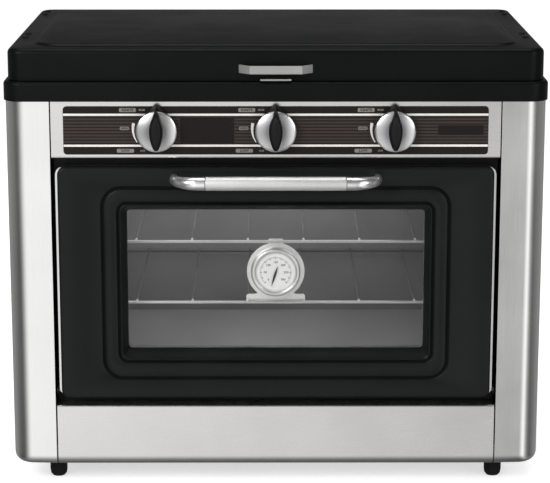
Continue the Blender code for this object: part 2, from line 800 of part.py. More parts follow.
# Hinge of the lid: the tray's leaf carries the pin, the lid's leaf turns on it

def knuckles(name, odd, radius):
    # Every other stretch of the hinge barrel
    length = HINGE_LENGTH / HINGE_KNUCKLES
    pieces = []
    for index in range(odd, HINGE_KNUCKLES, 2):
        low = -HINGE_LENGTH / 2 + index * length + GAP
        pieces.append(cylinder(name, radius, low, low + length - 2 * GAP, "X", (0, HINGE_Y, HINGE_Z),
                               steps=SMALL_STEPS))
    return pieces


tray_back = TRAY_DEPTH / 2 + GAP
tray_hinge = block("tray_hinge", (-HINGE_LENGTH / 2, tray_back, HINGE_LEAF_LOW),
                   (HINGE_LENGTH / 2, tray_back + HINGE_SHEET, HINGE_Z - KNUCKLE_R - 2 * GAP))
hinge_foot = HINGE_Z - KNUCKLE_R - 2 * GAP - HINGE_SHEET
for drum in knuckles("tray_knuckle", 0, KNUCKLE_R):
    low = min(corner[0] for corner in drum.bound_box)
    high = max(corner[0] for corner in drum.bound_box)
    web = block("tray_web", (low, tray_back, hinge_foot), (high, HINGE_Y + HINGE_SHEET / 2,
                                                           HINGE_Z - KNUCKLE_R / 2))
    fuse(tray_hinge, web, drum)
fuse(tray_hinge, cylinder("hinge_pin", HINGE_PIN_R, -HINGE_LENGTH / 2 + GAP * 2, HINGE_LENGTH / 2 - GAP * 2,
                          "X",
                          (0, HINGE_Y, HINGE_Z), steps=12))

lid_back = LID_DEPTH / 2 + GAP
jog_z = LID_BOTTOM + 2 * GAP
lid_hinge = block("lid_hinge", (-HINGE_LENGTH / 2, lid_back, jog_z),
                  (HINGE_LENGTH / 2, lid_back + HINGE_SHEET, HINGE_LEAF_HIGH))
jog_top = HINGE_Z + KNUCKLE_R - GAP
jog = block("hinge_jog", (-HINGE_LENGTH / 2, lid_back, jog_top - HINGE_SHEET),
            (HINGE_LENGTH / 2, HINGE_Y, jog_top))
fuse(lid_hinge, jog)
for drum in knuckles("lid_knuckle", 1, KNUCKLE_R):
    fuse(lid_hinge, drum)
bore = cylinder("hinge_bore", HINGE_PIN_R + GAP, -HINGE_LENGTH / 2 - OVERRUN, HINGE_LENGTH / 2 + OVERRUN,
                "X",
                (0, HINGE_Y, HINGE_Z), steps=12)
cut(lid_hinge, bore)
for index in range(0, HINGE_KNUCKLES, 2):
    length = HINGE_LENGTH / HINGE_KNUCKLES
    low = -HINGE_LENGTH / 2 + index * length
    cut(lid_hinge, cylinder("knuckle_room", KNUCKLE_R + 2 * GAP, low - GAP, low + length + GAP, "X",
                            (0, HINGE_Y, HINGE_Z), steps=12))

strap_back = -LID_DEPTH / 2 - GAP - SHEET
tab_half = STRAP_HALF - STRAP_TAB
inner_line = [(-STRAP_HALF, strap_back), (-tab_half, strap_back),
              (-STRAP_FLAT_HALF, strap_back - STRAP_OUT),
              (STRAP_FLAT_HALF, strap_back - STRAP_OUT), (tab_half, strap_back), (STRAP_HALF, strap_back)]
outer = filleted(inner_line, BEND)
strap_faces = [(2 * i, 2 * i + 1, 2 * i + 3, 2 * i + 2) for i in range(len(outer) - 1)]
strap_points = [(x, y, z) for x, y in outer for z in (STRAP_Z - STRAP_HEIGHT / 2,
                                                      STRAP_Z + STRAP_HEIGHT / 2)]
strap = link("lid_handle", mesh_of("lid_handle", strap_points,
                                   [tuple(reversed(face)) for face in strap_faces]), "steel")
thicken(strap, SHEET)
latch_low = LID_BOTTOM + 2 * SHEET
latch_path = [(strap_back - STRAP_OUT * LATCH_REACH_SHARE, latch_low), (strap_back, latch_low),
              (strap_back, LID_BOTTOM + STRAP_HEIGHT)]
latch = folded("lid_latch", latch_path, -LATCH_HALF, LATCH_HALF, "steel")


# Oven: front frame with hinge ears, liner with rack ledges, racks

mouth_z = (OVEN_FLOOR + OVEN_ROOF) / 2
mouth_half = (OVEN_ROOF - OVEN_FLOOR) / 2
frame_half_z = (FRAME_TOP - FRAME_BOTTOM) / 2
frame_z = (FRAME_TOP + FRAME_BOTTOM) / 2
mouth = [(x, y + mouth_z - frame_z) for x, y in rounded(OVEN_HALF, mouth_half, OVEN_CORNER)]
oven_frame = flat("oven_front_frame", rounded(FRAME_HALF, frame_half_z, BEND), FRAME_THICK, "black",
                  [mouth])
shift(face_front(oven_frame), 0, FRAME_Y, frame_z)
ear_x = LINER_HALF + GAP * 3
ear_line = arc((DOOR_AXIS_Y, DOOR_AXIS_Z), EAR_R, 90, 270, 8)
ear_line += [(FRAME_Y + FRAME_THICK / 2, DOOR_AXIS_Z - EAR_R),
             (FRAME_Y + FRAME_THICK / 2, DOOR_AXIS_Z + EAR_R)]
pin_hole = circle(DOOR_AXIS_Y, DOOR_AXIS_Z, DOOR_PIN_R + GAP, 12)
for side in (-1, 1):
    ear = face_side(flat("hinge_ear", ear_line, EAR_THICK, "black", [pin_hole]))
    fuse(oven_frame, shift(ear, x=ear_x if side > 0 else -ear_x - EAR_THICK))

front_w = -(FRAME_Y + GAP)
liner_rows = [(OVEN_HALF + OVEN_LIP, mouth_half + OVEN_LIP, OVEN_CORNER, front_w, mouth_z),
              (OVEN_HALF, mouth_half, OVEN_CORNER, front_w, mouth_z),
              (OVEN_HALF, mouth_half, OVEN_CORNER, -OVEN_BACK, mouth_z)]
liner = loft("oven_liner", levels(*liner_rows), "grey", cap_last=True)
thicken(face_front(liner), SHEET)
for rack_z in RACK_ZS:
    for side in (-1, 1):
        low, high = sorted((side * (OVEN_HALF + SHEET / 2), side * (OVEN_HALF - LEDGE_WIDTH)))
        top = rack_z - RACK_WIRE_R - GAP
        fuse(liner, block("rack_ledge", (low, RACK_FRONT - RACK_WIRE_R, top - LEDGE_THICK),
                          (high, OVEN_BACK - GAP, top)))


def rack():
    # Frame of round wire with thinner bars welded on top, which stand a little past the front wire
    back = RACK_FRONT + RACK_DEPTH
    corner = RACK_BAR_PITCH / 6
    middle = (RACK_FRONT + back) / 2
    path = [(x, y + middle, 0) for x, y in rounded(RACK_HALF, RACK_DEPTH / 2, corner, 3)]
    frame = rod("oven_rack_upper", path, RACK_WIRE_R, "chrome", closed=True, sides=1)
    for bar in range(RACK_BARS):
        bar_x = (bar - (RACK_BARS - 1) / 2) * RACK_BAR_PITCH
        lift = RACK_WIRE_R + RACK_BAR_R * RACK_WELD_SHARE
        ends = [(bar_x, RACK_FRONT - RACK_WIRE_R, lift), (bar_x, back + RACK_WIRE_R, lift)]
        fuse(frame, rod("rack_bar", ends, RACK_BAR_R, "chrome", sides=1))
    return frame


upper_rack = applied(rack())
shift(upper_rack, z=RACK_ZS[0])
lower_rack = baked(upper_rack, "oven_rack_lower", "chrome")
shift(lower_rack, z=RACK_ZS[1] - RACK_ZS[0])


# Door

door_z = (DOOR_TOP + DOOR_BOTTOM) / 2
door_half_z = (DOOR_TOP - DOOR_BOTTOM) / 2
front = -DOOR_FRONT
door_rows = [(DOOR_HALF, door_half_z, DOOR_CORNER, front - DOOR_RETURN, door_z)]
door_rows += bend(DOOR_HALF, door_half_z, DOOR_CORNER, front - DOOR_BEND, DOOR_BEND, door_z, 0, 90, 1, 1)
groove_z = (GROOVE_TOP + GROOVE_BOTTOM) / 2
groove_half_z = (GROOVE_TOP - GROOVE_BOTTOM) / 2
for step, depth in ((GROOVE_WIDTH / 2, 0), (0, GROOVE_DEPTH), (-GROOVE_WIDTH / 2, 0)):
    door_rows.append((GROOVE_HALF + step, groove_half_z + step, GROOVE_CORNER + step, front - depth,
                      groove_z))
door_rows.append((WINDOW_HALF, (WINDOW_TOP - WINDOW_BOTTOM) / 2, WINDOW_CORNER, front,
                  (WINDOW_TOP + WINDOW_BOTTOM) / 2))
sight_z = (GLASS_SIGHT_TOP + GLASS_SIGHT_BOTTOM) / 2
sight_half = (GLASS_SIGHT_TOP - GLASS_SIGHT_BOTTOM) / 2
door_rows.append((GLASS_SIGHT_HALF, sight_half, GLASS_SIGHT_CORNER, front - WINDOW_DEPTH, sight_z))
door_panel = loft("door_panel", levels(*door_rows), "black")
thicken(face_front(door_panel), SHEET)

glass_front = DOOR_FRONT + WINDOW_DEPTH + SHEET
glass = flat("door_glass", rounded(GLASS_SIGHT_HALF + GLASS_LAP, sight_half + GLASS_LAP,
                                   GLASS_SIGHT_CORNER),
             GLASS_THICK, "glass")
shift(face_front(glass), 0, glass_front + GLASS_THICK, sight_z)

lip_w = front - DOOR_RETURN - GAP
back_w = -LINER_BACK
liner_half_z = door_half_z - LINER_INSET
inner_rows = [(LINER_HALF - LINER_LIP, liner_half_z - LINER_LIP, DOOR_CORNER - LINER_LIP, lip_w, door_z)]
inner_rows += [(LINER_HALF, liner_half_z, DOOR_CORNER, lip_w, door_z)]
inner_rows += bend(LINER_HALF, liner_half_z, DOOR_CORNER, back_w + LINER_ROLL, LINER_ROLL, door_z, 0, 90, 1,
                   -1)
inner_rows += [(GLASS_SIGHT_HALF, sight_half, GLASS_SIGHT_CORNER, back_w, sight_z),
               (GLASS_SIGHT_HALF, sight_half, GLASS_SIGHT_CORNER, -(glass_front + GLASS_THICK + GAP),
                sight_z)]
inner_rows.reverse()
door_liner = loft("door_liner", levels(*inner_rows), "steel")
thicken(face_front(door_liner), SHEET)
for side in (-1, 1):
    low, high = sorted((side * (LINER_HALF - LINER_LIP), side * (LINER_HALF + DOOR_PIN_OUT)))
    fuse(door_liner, cylinder("door_pin", DOOR_PIN_R, low, high, "X", (0, DOOR_AXIS_Y, DOOR_AXIS_Z),
                              steps=SMALL_STEPS))

grip = cylinder("door_handle_grip", GRIP_R, -GRIP_HALF, GRIP_HALF, "X", (0, GRIP_Y, HANDLE_Z))
foot_y = DOOR_FRONT - GAP
sweep_line = filleted([(-GRIP_HALF - GAP, GRIP_Y), (-HANDLE_FOOT_HALF, GRIP_Y),
                       (-HANDLE_FOOT_HALF, foot_y)],
                      HANDLE_OUT * HANDLE_BEND_SHARE, 6)
thin = [1 - (1 - HANDLE_FOOT_R / GRIP_R) * index / (len(sweep_line)
                                                    - 1) for index in range(len(sweep_line))]
left_end = rod("door_handle_end_left", [(x, y, HANDLE_Z) for x, y in sweep_line], GRIP_R * HANDLE_END_SHARE,
               "chrome", radii=thin, sides=4)
right_end = mirrored(left_end, "door_handle_end_right", "chrome")


# Knobs on their valve stems

def leaf_outline(grow, share=1):
    # The grip seen from the front: pointed at the top, widest at the middle, round at the bottom
    half = BLADE_HALF * share + grow
    top, bottom = BLADE_TOP * share + grow, BLADE_BOTTOM * share + grow
    right = [(half * out, top * up) for out, up in LEAF_UPPER_SHARES]
    right += [(half * out, -bottom * down) for out, down in LEAF_LOWER_SHARES]
    left = [(-x, y) for x, y in reversed(right)]
    return [(0, top), *left[::-1], (0, -bottom), *right[::-1]]


def skirt_outline():
    # A disc with a blunt point on top
    shoulder = math.degrees(math.acos(SKIRT_R / SKIRT_TIP))
    line = arc((0, 0), SKIRT_R, 90 + shoulder, 450 - shoulder, KNOB_STEPS)
    return [*line, (SKIRT_TIP * SKIRT_TIP_SHARE, SKIRT_TIP), (-SKIRT_TIP * SKIRT_TIP_SHARE, SKIRT_TIP)]


def stem_outline(grow):
    # A round shaft with one flat on top
    clip = math.degrees(math.asin(STEM_FLAT / STEM_R))
    return arc((0, 0), STEM_R + grow, 180 - clip, 360 + clip, 12)


def front_plate(name, outline, back, thickness, look, holes=()):
    # Drawn from the front; back is how far its rear face stands before the control plate
    plate = face_front(flat(name, outline, thickness, look, holes))
    return shift(plate, y=PLATE_FACE - back)


def front_turned(name, profile, look, steps=ROUND_STEPS):
    # A turned body whose axis points to the front; heights are measured from the control plate
    return shift(face_front(turned(name, profile, look, steps)), y=PLATE_FACE)


def knob(name):
    body = front_plate(name, skirt_outline(), KNOB_LIFT, SKIRT_THICK, "black")
    rings = []
    for share, out in ((1, KNOB_LIFT + SKIRT_THICK / 2), (1, KNOB_LIFT + SKIRT_THICK + TRIM_THICK),
                       (BLADE_TAPER_SHARE, BLADE_OUT + KNOB_LIFT)):
        rings.append([(x, y, out) for x, y in leaf_outline(0, share)])
    blade = loft("knob_blade", rings, "black", cap_first=True, cap_last=True)
    fuse(body, shift(face_front(blade), y=PLATE_FACE))
    hole = front_plate("knob_bore", stem_outline(GAP), KNOB_LIFT - OVERRUN, STEM_IN_KNOB + GAP + OVERRUN,
                       "black")
    return cut(body, hole)


def trim_disc(name):
    # Dished bright disc round the grip, with the grip's slot open at the top
    low = KNOB_LIFT + SKIRT_THICK + GAP
    rim = TRIM_R - TRIM_FACE_R
    disc = front_turned(name, [(0, low + TRIM_THICK * TRIM_DISH_SHARE),
                               (TRIM_FACE_R * TRIM_DISH_R_SHARE, low + TRIM_THICK),
                               (TRIM_FACE_R, low + TRIM_THICK),
                               (TRIM_R - rim * TRIM_RIM_SHARE, low + TRIM_THICK * TRIM_RIM_HEIGHT_SHARE),
                               (TRIM_R, low), (0, low)], "steel", KNOB_STEPS)
    slot = front_plate("trim_slot", leaf_outline(GAP * 1.5), low - OVERRUN, TRIM_THICK + 2 * OVERRUN,
                       "steel")
    return cut(disc, slot)


def valve(name):
    # Brass tap body behind the fascia: flange, barrel with the plug's bore, seat for the pipe
    back = FRONT + SHEET + GAP
    start = back - PLATE_FACE
    bore_end = start + VALVE_FLANGE + PLUG_LENGTH + 2 * GAP
    end = start + VALVE_LENGTH
    profile = [(0, -bore_end), (PLUG_R + GAP, -bore_end), (PLUG_R + GAP, -start), (VALVE_FLANGE_R, -start),
               (VALVE_FLANGE_R, -start - VALVE_FLANGE), (VALVE_R, -start - VALVE_FLANGE), (VALVE_R, -end),
               (0, -end)]
    return front_turned(name, profile, "brass")


def plug(name):
    # The part that turns in the valve, with the stem's socket
    start = FRONT + SHEET + GAP + VALVE_FLANGE
    body = cylinder(name, PLUG_R, start, start + PLUG_LENGTH, "Y", steps=ROUND_STEPS, look="brass")
    socket = flat("plug_socket", stem_outline(GAP), STEM_IN_PLUG + KNOB_PUSH + 2 * GAP + OVERRUN, "brass")
    shift(face_front(socket), y=start + STEM_IN_PLUG + KNOB_PUSH + 2 * GAP)
    return cut(body, socket)


def stem(name):
    start = FRONT + SHEET + GAP + VALVE_FLANGE + STEM_IN_PLUG
    length = start - (PLATE_FACE - KNOB_LIFT - STEM_IN_KNOB)
    return shift(face_front(flat(name, stem_outline(0), length, "steel")), y=start)


for side, word in ((-1, "left"), (0, "middle"), (1, "right")):
    here = side * KNOB_PITCH
    turning = [plug("valve_plug_" + word), stem("valve_stem_" + word), knob("knob_" + word),
               trim_disc("knob_trim_" + word)]
    for piece in [*turning, valve("gas_valve_" + word)]:
        shift(piece, here, 0, CONTROL_Z)
        for modifier in piece.modifiers:
            shift(modifier.object, here, 0, CONTROL_Z)
    hang_on(axis_at("knob_axis_" + word, (here, FRONT, CONTROL_Z)), *turning)


# Gas pipes, burners and grate

pipe_y = FRONT + SHEET + GAP + VALVE_LENGTH + GAP + PIPE_R
manifold_line = [(-PIPE_END, pipe_y), (INLET_X, pipe_y), (INLET_X, REAR - 2 * SHEET)]
manifold = rod("manifold_pipe", [(x, y, CONTROL_Z) for x, y in filleted(manifold_line, 3 * PIPE_R, 4)],
               PIPE_R, "cast", sides=3)
cut(back_panel, cylinder("inlet_hole", INLET_R + GAP, REAR - FLANGE / 2, REAR + OVERRUN, "Y",
                         (INLET_X, 0, CONTROL_Z)))
inlet = cylinder("gas_inlet", INLET_R, REAR - 3 * SHEET, REAR + INLET_R, "Y", (INLET_X, 0, CONTROL_Z),
                 look="brass")
fuse(manifold, inlet)


def hob_burner(name):
    # Throat and head turned in one, with the venturi tube from the valve
    top = BURNER_TOP
    head_low = TRAY_FLOOR + GAP
    profile = [(0, top - BEND), (BURNER_R * BURNER_MOUTH_SHARE, top - BEND),
               (BURNER_R * BURNER_MOUTH_SHARE, top), (BURNER_R * BURNER_CROWN_SHARE, top),
               (BURNER_R, top - 2 * BEND), (BURNER_R, head_low + 2 * BEND),
               (BURNER_R * BURNER_BASE_SHARE, head_low),
               (THROAT_R, head_low), (THROAT_R, VENTURI_Z - VENTURI_R - BEND),
               (0, VENTURI_Z - VENTURI_R - BEND)]
    body = shift(turned(name, profile, "cast"), -BURNER_X, BURNER_Y)
    rise = VENTURI_Z - CONTROL_Z
    start_y = pipe_y + PIPE_R + 4 * GAP
    line = [(-BURNER_X, BURNER_Y, VENTURI_Z), (-BURNER_X, (BURNER_Y + start_y) / 2, VENTURI_Z),
            (-BURNER_X, start_y + rise, CONTROL_Z + PIPE_R), (-BURNER_X, start_y, CONTROL_Z + PIPE_R / 2)]
    tube = rod("venturi", line, VENTURI_R, "cast", radii=VENTURI_SHARES, sides=3)
    return fuse(body, tube)


left_burner = hob_burner("hob_burner_left")
right_burner = mirrored(left_burner, "hob_burner_right", "cast")
for side, word in ((-1, "left"), (1, "right")):
    low = BURNER_TOP + GAP
    cap = turned("burner_cap_" + word, [(0, low + CAP_THICK), (CAP_R * CAP_TOP_SHARE, low + CAP_THICK),
                                        (CAP_R, low + CAP_THICK * CAP_EDGE_SHARE),
                                        (CAP_R, low), (BURNER_R * CAP_COLLAR_SHARE, low),
                                        (BURNER_R * CAP_SPIGOT_SHARE, low - BEND / 2),
                                        (0, low - BEND / 2)], "black")
    shift(cap, side * BURNER_X, BURNER_Y)

ring_line = [(x, y + BURNER_Y, GRATE_Z) for x, y in rounded(GRATE_HALF_X, GRATE_HALF_Y, GRATE_CORNER, 3)]
grate = rod("pan_grate", ring_line, GRATE_R, "chrome", closed=True, sides=1)
foot_z = TRAY_FLOOR + GAP
for burner_x in (-BURNER_X, BURNER_X):
    for bar in range(GRATE_BARS):
        bar_x = burner_x + (bar - (GRATE_BARS - 1) / 2) * GRATE_HALF_X / GRATE_BARS
        ends = [(bar_x, BURNER_Y - GRATE_HALF_Y, GRATE_Z + GRATE_R / 2),
                (bar_x, BURNER_Y + GRATE_HALF_Y, GRATE_Z + GRATE_R / 2)]
        fuse(grate, rod("grate_bar", ends, GRATE_BAR_R, "chrome", sides=1))
for side_x in (-1, 1):
    for side_y in (-1, 1):
        leg = (side_x * (GRATE_HALF_X - GRATE_CORNER * 2), BURNER_Y + side_y * GRATE_HALF_Y)
        fuse(grate, rod("grate_leg", [(*leg, GRATE_Z), (*leg, foot_z)], GRATE_R * GRATE_LEG_SHARE, "chrome",
                        sides=1))

burner_front = FRAME_Y + 4 * OVEN_LIP
burner_back = OVEN_BACK - 3 * OVEN_LIP
oven_burner = cylinder("oven_burner", OVEN_BURNER_R, burner_front, burner_back, "Y", (0, 0, OVEN_BURNER_Z),
                       look="cast")
for end_y in (burner_front + OVEN_LIP, burner_back - OVEN_LIP):
    leg = block("burner_leg", (-OVEN_BURNER_R / 2, end_y - SHEET, FOOT_HEIGHT + 2 * SHEET + 2 * GAP),
                (OVEN_BURNER_R / 2, end_y + SHEET, OVEN_BURNER_Z))
    fuse(oven_burner, leg)
heat = block("heat_plate", (-HEAT_PLATE_HALF, FRAME_Y + 2 * OVEN_LIP, HEAT_PLATE_Z),
             (HEAT_PLATE_HALF, OVEN_BACK - 2 * OVEN_LIP, HEAT_PLATE_Z + SHEET))
for end in (-1, 1):
    low, high = sorted((end * HEAT_PLATE_HALF, end * (HEAT_PLATE_HALF - SHEET)))
    fuse(heat, block("heat_plate_leg", (low, FRAME_Y + 2 * OVEN_LIP, OVEN_FLOOR + GAP),
                     (high, OVEN_BACK - 2 * OVEN_LIP, HEAT_PLATE_Z + SHEET / 2)))
cut(liner, block("burner_slot", (-BURNER_SLOT_HALF, burner_front, OVEN_FLOOR - 2 * SHEET),
                 (BURNER_SLOT_HALF, burner_back, OVEN_FLOOR + SHEET)))
feed_x = LINER_HALF + OVEN_LIP
feed_y = FRONT + SHEET + GAP + VALVE_FLANGE + PLUG_LENGTH / 2
feed_z = CONTROL_Z - VALVE_R - GAP
feed_line = [(KNOB_PITCH, feed_y, feed_z), (KNOB_PITCH, feed_y, feed_z - FEED_DROP),
             (feed_x, feed_y, feed_z - FEED_DROP),
             (feed_x, feed_y, OVEN_BURNER_Z), (0, feed_y, OVEN_BURNER_Z),
             (0, burner_front - GAP, OVEN_BURNER_Z)]
rod("oven_gas_pipe", feed_line, FEED_R, "cast", sides=1)


# Thermometer hung on the upper rack's front wire, its foot before the lower one

gauge_back = RACK_FRONT - RACK_WIRE_R - GAP
gauge_outline = arc((0, 0), GAUGE_R, -40, 220, 22)
foot_low = GAUGE_FOOT_Z - GAUGE_Z
foot_top = foot_low + GAUGE_FOOT_HEIGHT
gauge_outline += [(-GAUGE_FOOT_HALF + 2 * BEND, foot_top), (-GAUGE_FOOT_HALF, foot_top - 2 * BEND),
                  (-GAUGE_FOOT_HALF, foot_low),
                  (GAUGE_FOOT_HALF, foot_low), (GAUGE_FOOT_HALF, foot_top - 2 * BEND),
                  (GAUGE_FOOT_HALF - 2 * BEND, foot_top)]
case = shift(face_front(flat("thermometer_case", gauge_outline, GAUGE_SHEET, "steel")), y=gauge_back)
face_y = gauge_back - GAUGE_SHEET
bezel = turned("gauge_bezel", [(DIAL_R, GAUGE_SHEET / 2), (DIAL_R, BEZEL_DEPTH),
                               (DIAL_R + BEND, BEZEL_DEPTH),
                               (BEZEL_R, BEZEL_DEPTH * BEZEL_EDGE_SHARE), (BEZEL_R, -GAUGE_SHEET / 2),
                               (DIAL_R, -GAUGE_SHEET / 2),
                               (DIAL_R, GAUGE_SHEET / 2)], "steel", KNOB_STEPS)
fuse(case, shift(face_front(bezel), y=face_y))
hook_top = RACK_ZS[0] + RACK_WIRE_R + GAP - GAUGE_Z
fuse(case, block("gauge_tab", (-HOOK_HALF, face_y, GAUGE_R * TAB_ROOT_SHARE),
                 (HOOK_HALF, gauge_back, hook_top + GAUGE_SHEET)),
     block("gauge_hook", (-HOOK_HALF, face_y + GAUGE_SHEET / 4, hook_top),
           (HOOK_HALF, RACK_FRONT + 2 * RACK_WIRE_R, hook_top + GAUGE_SHEET)))
dial = turned("thermometer_dial", [(0, GAUGE_SHEET), (DIAL_R - GAP, GAUGE_SHEET), (DIAL_R - GAP, 0),
                                   (0, 0)], "white", KNOB_STEPS)
shift(face_front(dial), y=face_y - GAP)
needle_line = [(-NEEDLE_HALF * NEEDLE_TIP_SHARE, -NEEDLE_LONG),
               (NEEDLE_HALF * NEEDLE_TIP_SHARE, -NEEDLE_LONG), (NEEDLE_HALF, 0),
               (NEEDLE_HALF * NEEDLE_TAIL_SHARE, NEEDLE_SHORT),
               (-NEEDLE_HALF * NEEDLE_TAIL_SHARE, NEEDLE_SHORT), (-NEEDLE_HALF, 0)]
needle = shift(face_front(flat("thermometer_needle", needle_line, NEEDLE_THICK, "black")),
               y=face_y - GAUGE_SHEET - 2 * GAP)
for piece in (case, dial, needle):
    shift(piece, z=GAUGE_Z)
    for modifier in piece.modifiers:
        shift(modifier.object, z=GAUGE_Z)
hang_on(axis_at("needle_axis", (0, face_y, GAUGE_Z)), needle)


# Carry handles: a wire bail in two ears on a plate, hanging against the side

plate_x = -SIDE - GAP - SHEET
carry_axis_x = plate_x - CARRY_EAR_R + SHEET
carry_plate = block("handle_plate_left", (plate_x, -CARRY_PLATE_HALF, CARRY_Z - CARRY_PLATE_HEIGHT / 2),
                    (plate_x + SHEET, CARRY_PLATE_HALF, CARRY_Z + CARRY_PLATE_HEIGHT / 2))
for side in (-1, 1):
    ear_y = side * (CARRY_HALF - 3 * CARRY_R)
    ear_block = block("carry_ear", (carry_axis_x, ear_y - CARRY_R, CARRY_Z - CARRY_EAR_R),
                      (plate_x + SHEET / 2, ear_y + CARRY_R, CARRY_Z + CARRY_EAR_R))
    ear_round = cylinder("carry_ear_round", CARRY_EAR_R * CARRY_EAR_SHARE,
                         ear_y - CARRY_R * CARRY_EAR_WIDTH_SHARE, ear_y + CARRY_R * CARRY_EAR_WIDTH_SHARE,
                         "Y", (carry_axis_x, 0, CARRY_Z), steps=SMALL_STEPS)
    fuse(carry_plate, ear_block, ear_round)
    cut(carry_plate, cylinder("carry_bore", CARRY_R + GAP, ear_y - 2 * CARRY_R, ear_y + 2 * CARRY_R, "Y",
                              (carry_axis_x, 0, CARRY_Z), steps=SMALL_STEPS))
bail_line = [(carry_axis_x, -CARRY_HALF + 5 * CARRY_R, CARRY_Z), (carry_axis_x, -CARRY_HALF, CARRY_Z),
             (carry_axis_x, -CARRY_HALF, CARRY_Z - CARRY_DROP),
             (carry_axis_x, CARRY_HALF, CARRY_Z - CARRY_DROP),
             (carry_axis_x, CARRY_HALF, CARRY_Z), (carry_axis_x, CARRY_HALF - 5 * CARRY_R, CARRY_Z)]
bail = rod("carry_handle_left", bail_line, CARRY_R * CARRY_FIT_SHARE, "chrome", sides=2)
mirrored(carry_plate, "handle_plate_right", "black")
right_bail = mirrored(bail, "carry_handle_right", "chrome")
hang_on(axis_at("carry_axis_left", (carry_axis_x, 0, CARRY_Z)), bail)
hang_on(axis_at("carry_axis_right", (-carry_axis_x, 0, CARRY_Z)), right_bail)


# Moving groups

hang_on(axis_at("lid_axis", (0, HINGE_Y, HINGE_Z)), lid, strap, latch, lid_hinge, guard, right_guard)
hang_on(axis_at("door_axis", (0, DOOR_AXIS_Y, DOOR_AXIS_Z)), door_panel, glass, door_liner, grip, left_end,
        right_end)
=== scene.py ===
# Looks of the camping stove with oven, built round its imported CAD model. Metres, front towards -Y.
import math

import bpy
import numpy as np
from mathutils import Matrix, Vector


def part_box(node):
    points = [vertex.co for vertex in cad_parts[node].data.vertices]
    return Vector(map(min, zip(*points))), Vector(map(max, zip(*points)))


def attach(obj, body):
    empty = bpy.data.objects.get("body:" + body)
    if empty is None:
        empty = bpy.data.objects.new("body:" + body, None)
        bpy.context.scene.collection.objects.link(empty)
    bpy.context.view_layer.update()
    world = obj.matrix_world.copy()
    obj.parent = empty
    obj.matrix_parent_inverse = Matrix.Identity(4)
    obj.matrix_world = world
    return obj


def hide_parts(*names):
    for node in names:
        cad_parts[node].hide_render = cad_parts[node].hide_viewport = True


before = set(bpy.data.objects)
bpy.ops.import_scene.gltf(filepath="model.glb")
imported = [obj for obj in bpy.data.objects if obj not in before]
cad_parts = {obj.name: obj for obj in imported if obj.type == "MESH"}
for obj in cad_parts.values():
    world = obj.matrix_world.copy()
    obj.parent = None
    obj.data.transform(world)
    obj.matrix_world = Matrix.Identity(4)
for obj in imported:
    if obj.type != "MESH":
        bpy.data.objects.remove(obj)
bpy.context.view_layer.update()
scene = bpy.context.scene
mm = 0.001
print("frame loaded")


# Nodes and materials

def linear(hexColour):
    # sRGB written as #rrggbb, turned into linear light
    channels = [int(hexColour[start:start + 2], 16) / 255 for start in (1, 3, 5)]
    return [c / 12.92 if c <= 0.04045 else ((c + 0.055) / 1.055) ** 2.4 for c in channels]


def feed(tree, node, inputs):
    # Gives each input its value, or links it to the socket that feeds it
    for key, value in inputs.items():
        if isinstance(value, bpy.types.NodeSocket):
            tree.links.new(value, node.inputs[key])
        else:
            node.inputs[key].default_value = value


def add(tree, kind, inputs=None, **settings):
    # One node with its settings and its inputs
    made = tree.nodes.new(kind)
    for key, value in settings.items():
        setattr(made, key, value)
    feed(tree, made, inputs or {})
    return made


def blank(name):
    # A new material, its nodes and its shader
    material = bpy.data.materials.new(name)
    material.use_nodes = True
    return material, material.node_tree, material.node_tree.nodes["Principled BSDF"]


def stretched(tree, stretch, centre=(0, 0, 0)):
    # Object coordinates in metres, scaled along each axis
    where = add(tree, "ShaderNodeTexCoord")
    shifted = add(tree, "ShaderNodeVectorMath", {0: where.outputs["Object"], 1: centre}, operation="SUBTRACT")
    return add(tree, "ShaderNodeVectorMath", {0: shifted.outputs[0], 1: stretch},
               operation="MULTIPLY").outputs[0]


def noise(tree, vector, size, detail=3.0):
    # Cloudy pattern whose spots are about as wide as size
    return add(tree, "ShaderNodeTexNoise", {"Vector": vector, "Scale": 1 / size, "Detail": detail,
                                            "Roughness": 0.55}).outputs[0]


def between(tree, factor, low, high, fromLow=0.3, fromHigh=0.7):
    # From low to high in step with the factor; most of a noise lies from 0.3 to 0.7
    return add(tree, "ShaderNodeMapRange", {"Value": factor, "From Min": fromLow, "From Max": fromHigh,
                                            "To Min": low, "To Max": high}).outputs["Result"]


def tint(tree, factor, first, second):
    # Sockets 6 and 7 of a colour Mix are its two colours, and output 2 is the mixed one
    colours = {6: (*linear(first), 1), 7: (*linear(second), 1)}
    return add(tree, "ShaderNodeMix", {0: factor, **colours}, data_type="RGBA").outputs[2]


looks = {}
# Smudges from handling: their width, and the range that grain and smudges add up to
handling = {"patch": 60 * mm, "low": 0.7, "high": 1.3}


def surface(name, first, second, roughness, metallic=0.0, grain=(1, 1, 1), size=1 * mm, bump=0.0,
            level=0.5, smudge=0.05):
    # Two close colours and the roughness follow a fine grain and broad, faint patches
    material, tree, shader = blank(name)
    fine = noise(tree, stretched(tree, grain), size)
    broad = noise(tree, stretched(tree, (1, 1, 1)), handling["patch"], 2.0)
    both = add(tree, "ShaderNodeMath", {0: fine, 1: broad}, operation="ADD").outputs[0]
    ends = handling["low"], handling["high"]
    feed(tree, shader, {"Base Color": tint(tree, between(tree, both, 0, 1, *ends), first, second),
                        "Roughness": between(tree, both, roughness - smudge, roughness + smudge, *ends),
                        "Metallic": metallic})
    if not metallic:
        feed(tree, shader, {"Specular IOR Level": level})
    if bump:
        lifted = add(tree, "ShaderNodeBump", {"Strength": 1.0, "Distance": bump, "Height": fine})
        feed(tree, shader, {"Normal": lifted.outputs["Normal"]})
    looks[name] = material


# Brush strokes are drawn out along X or along Z
along = (0.012, 1, 1)
upright = (1, 1, 0.012)

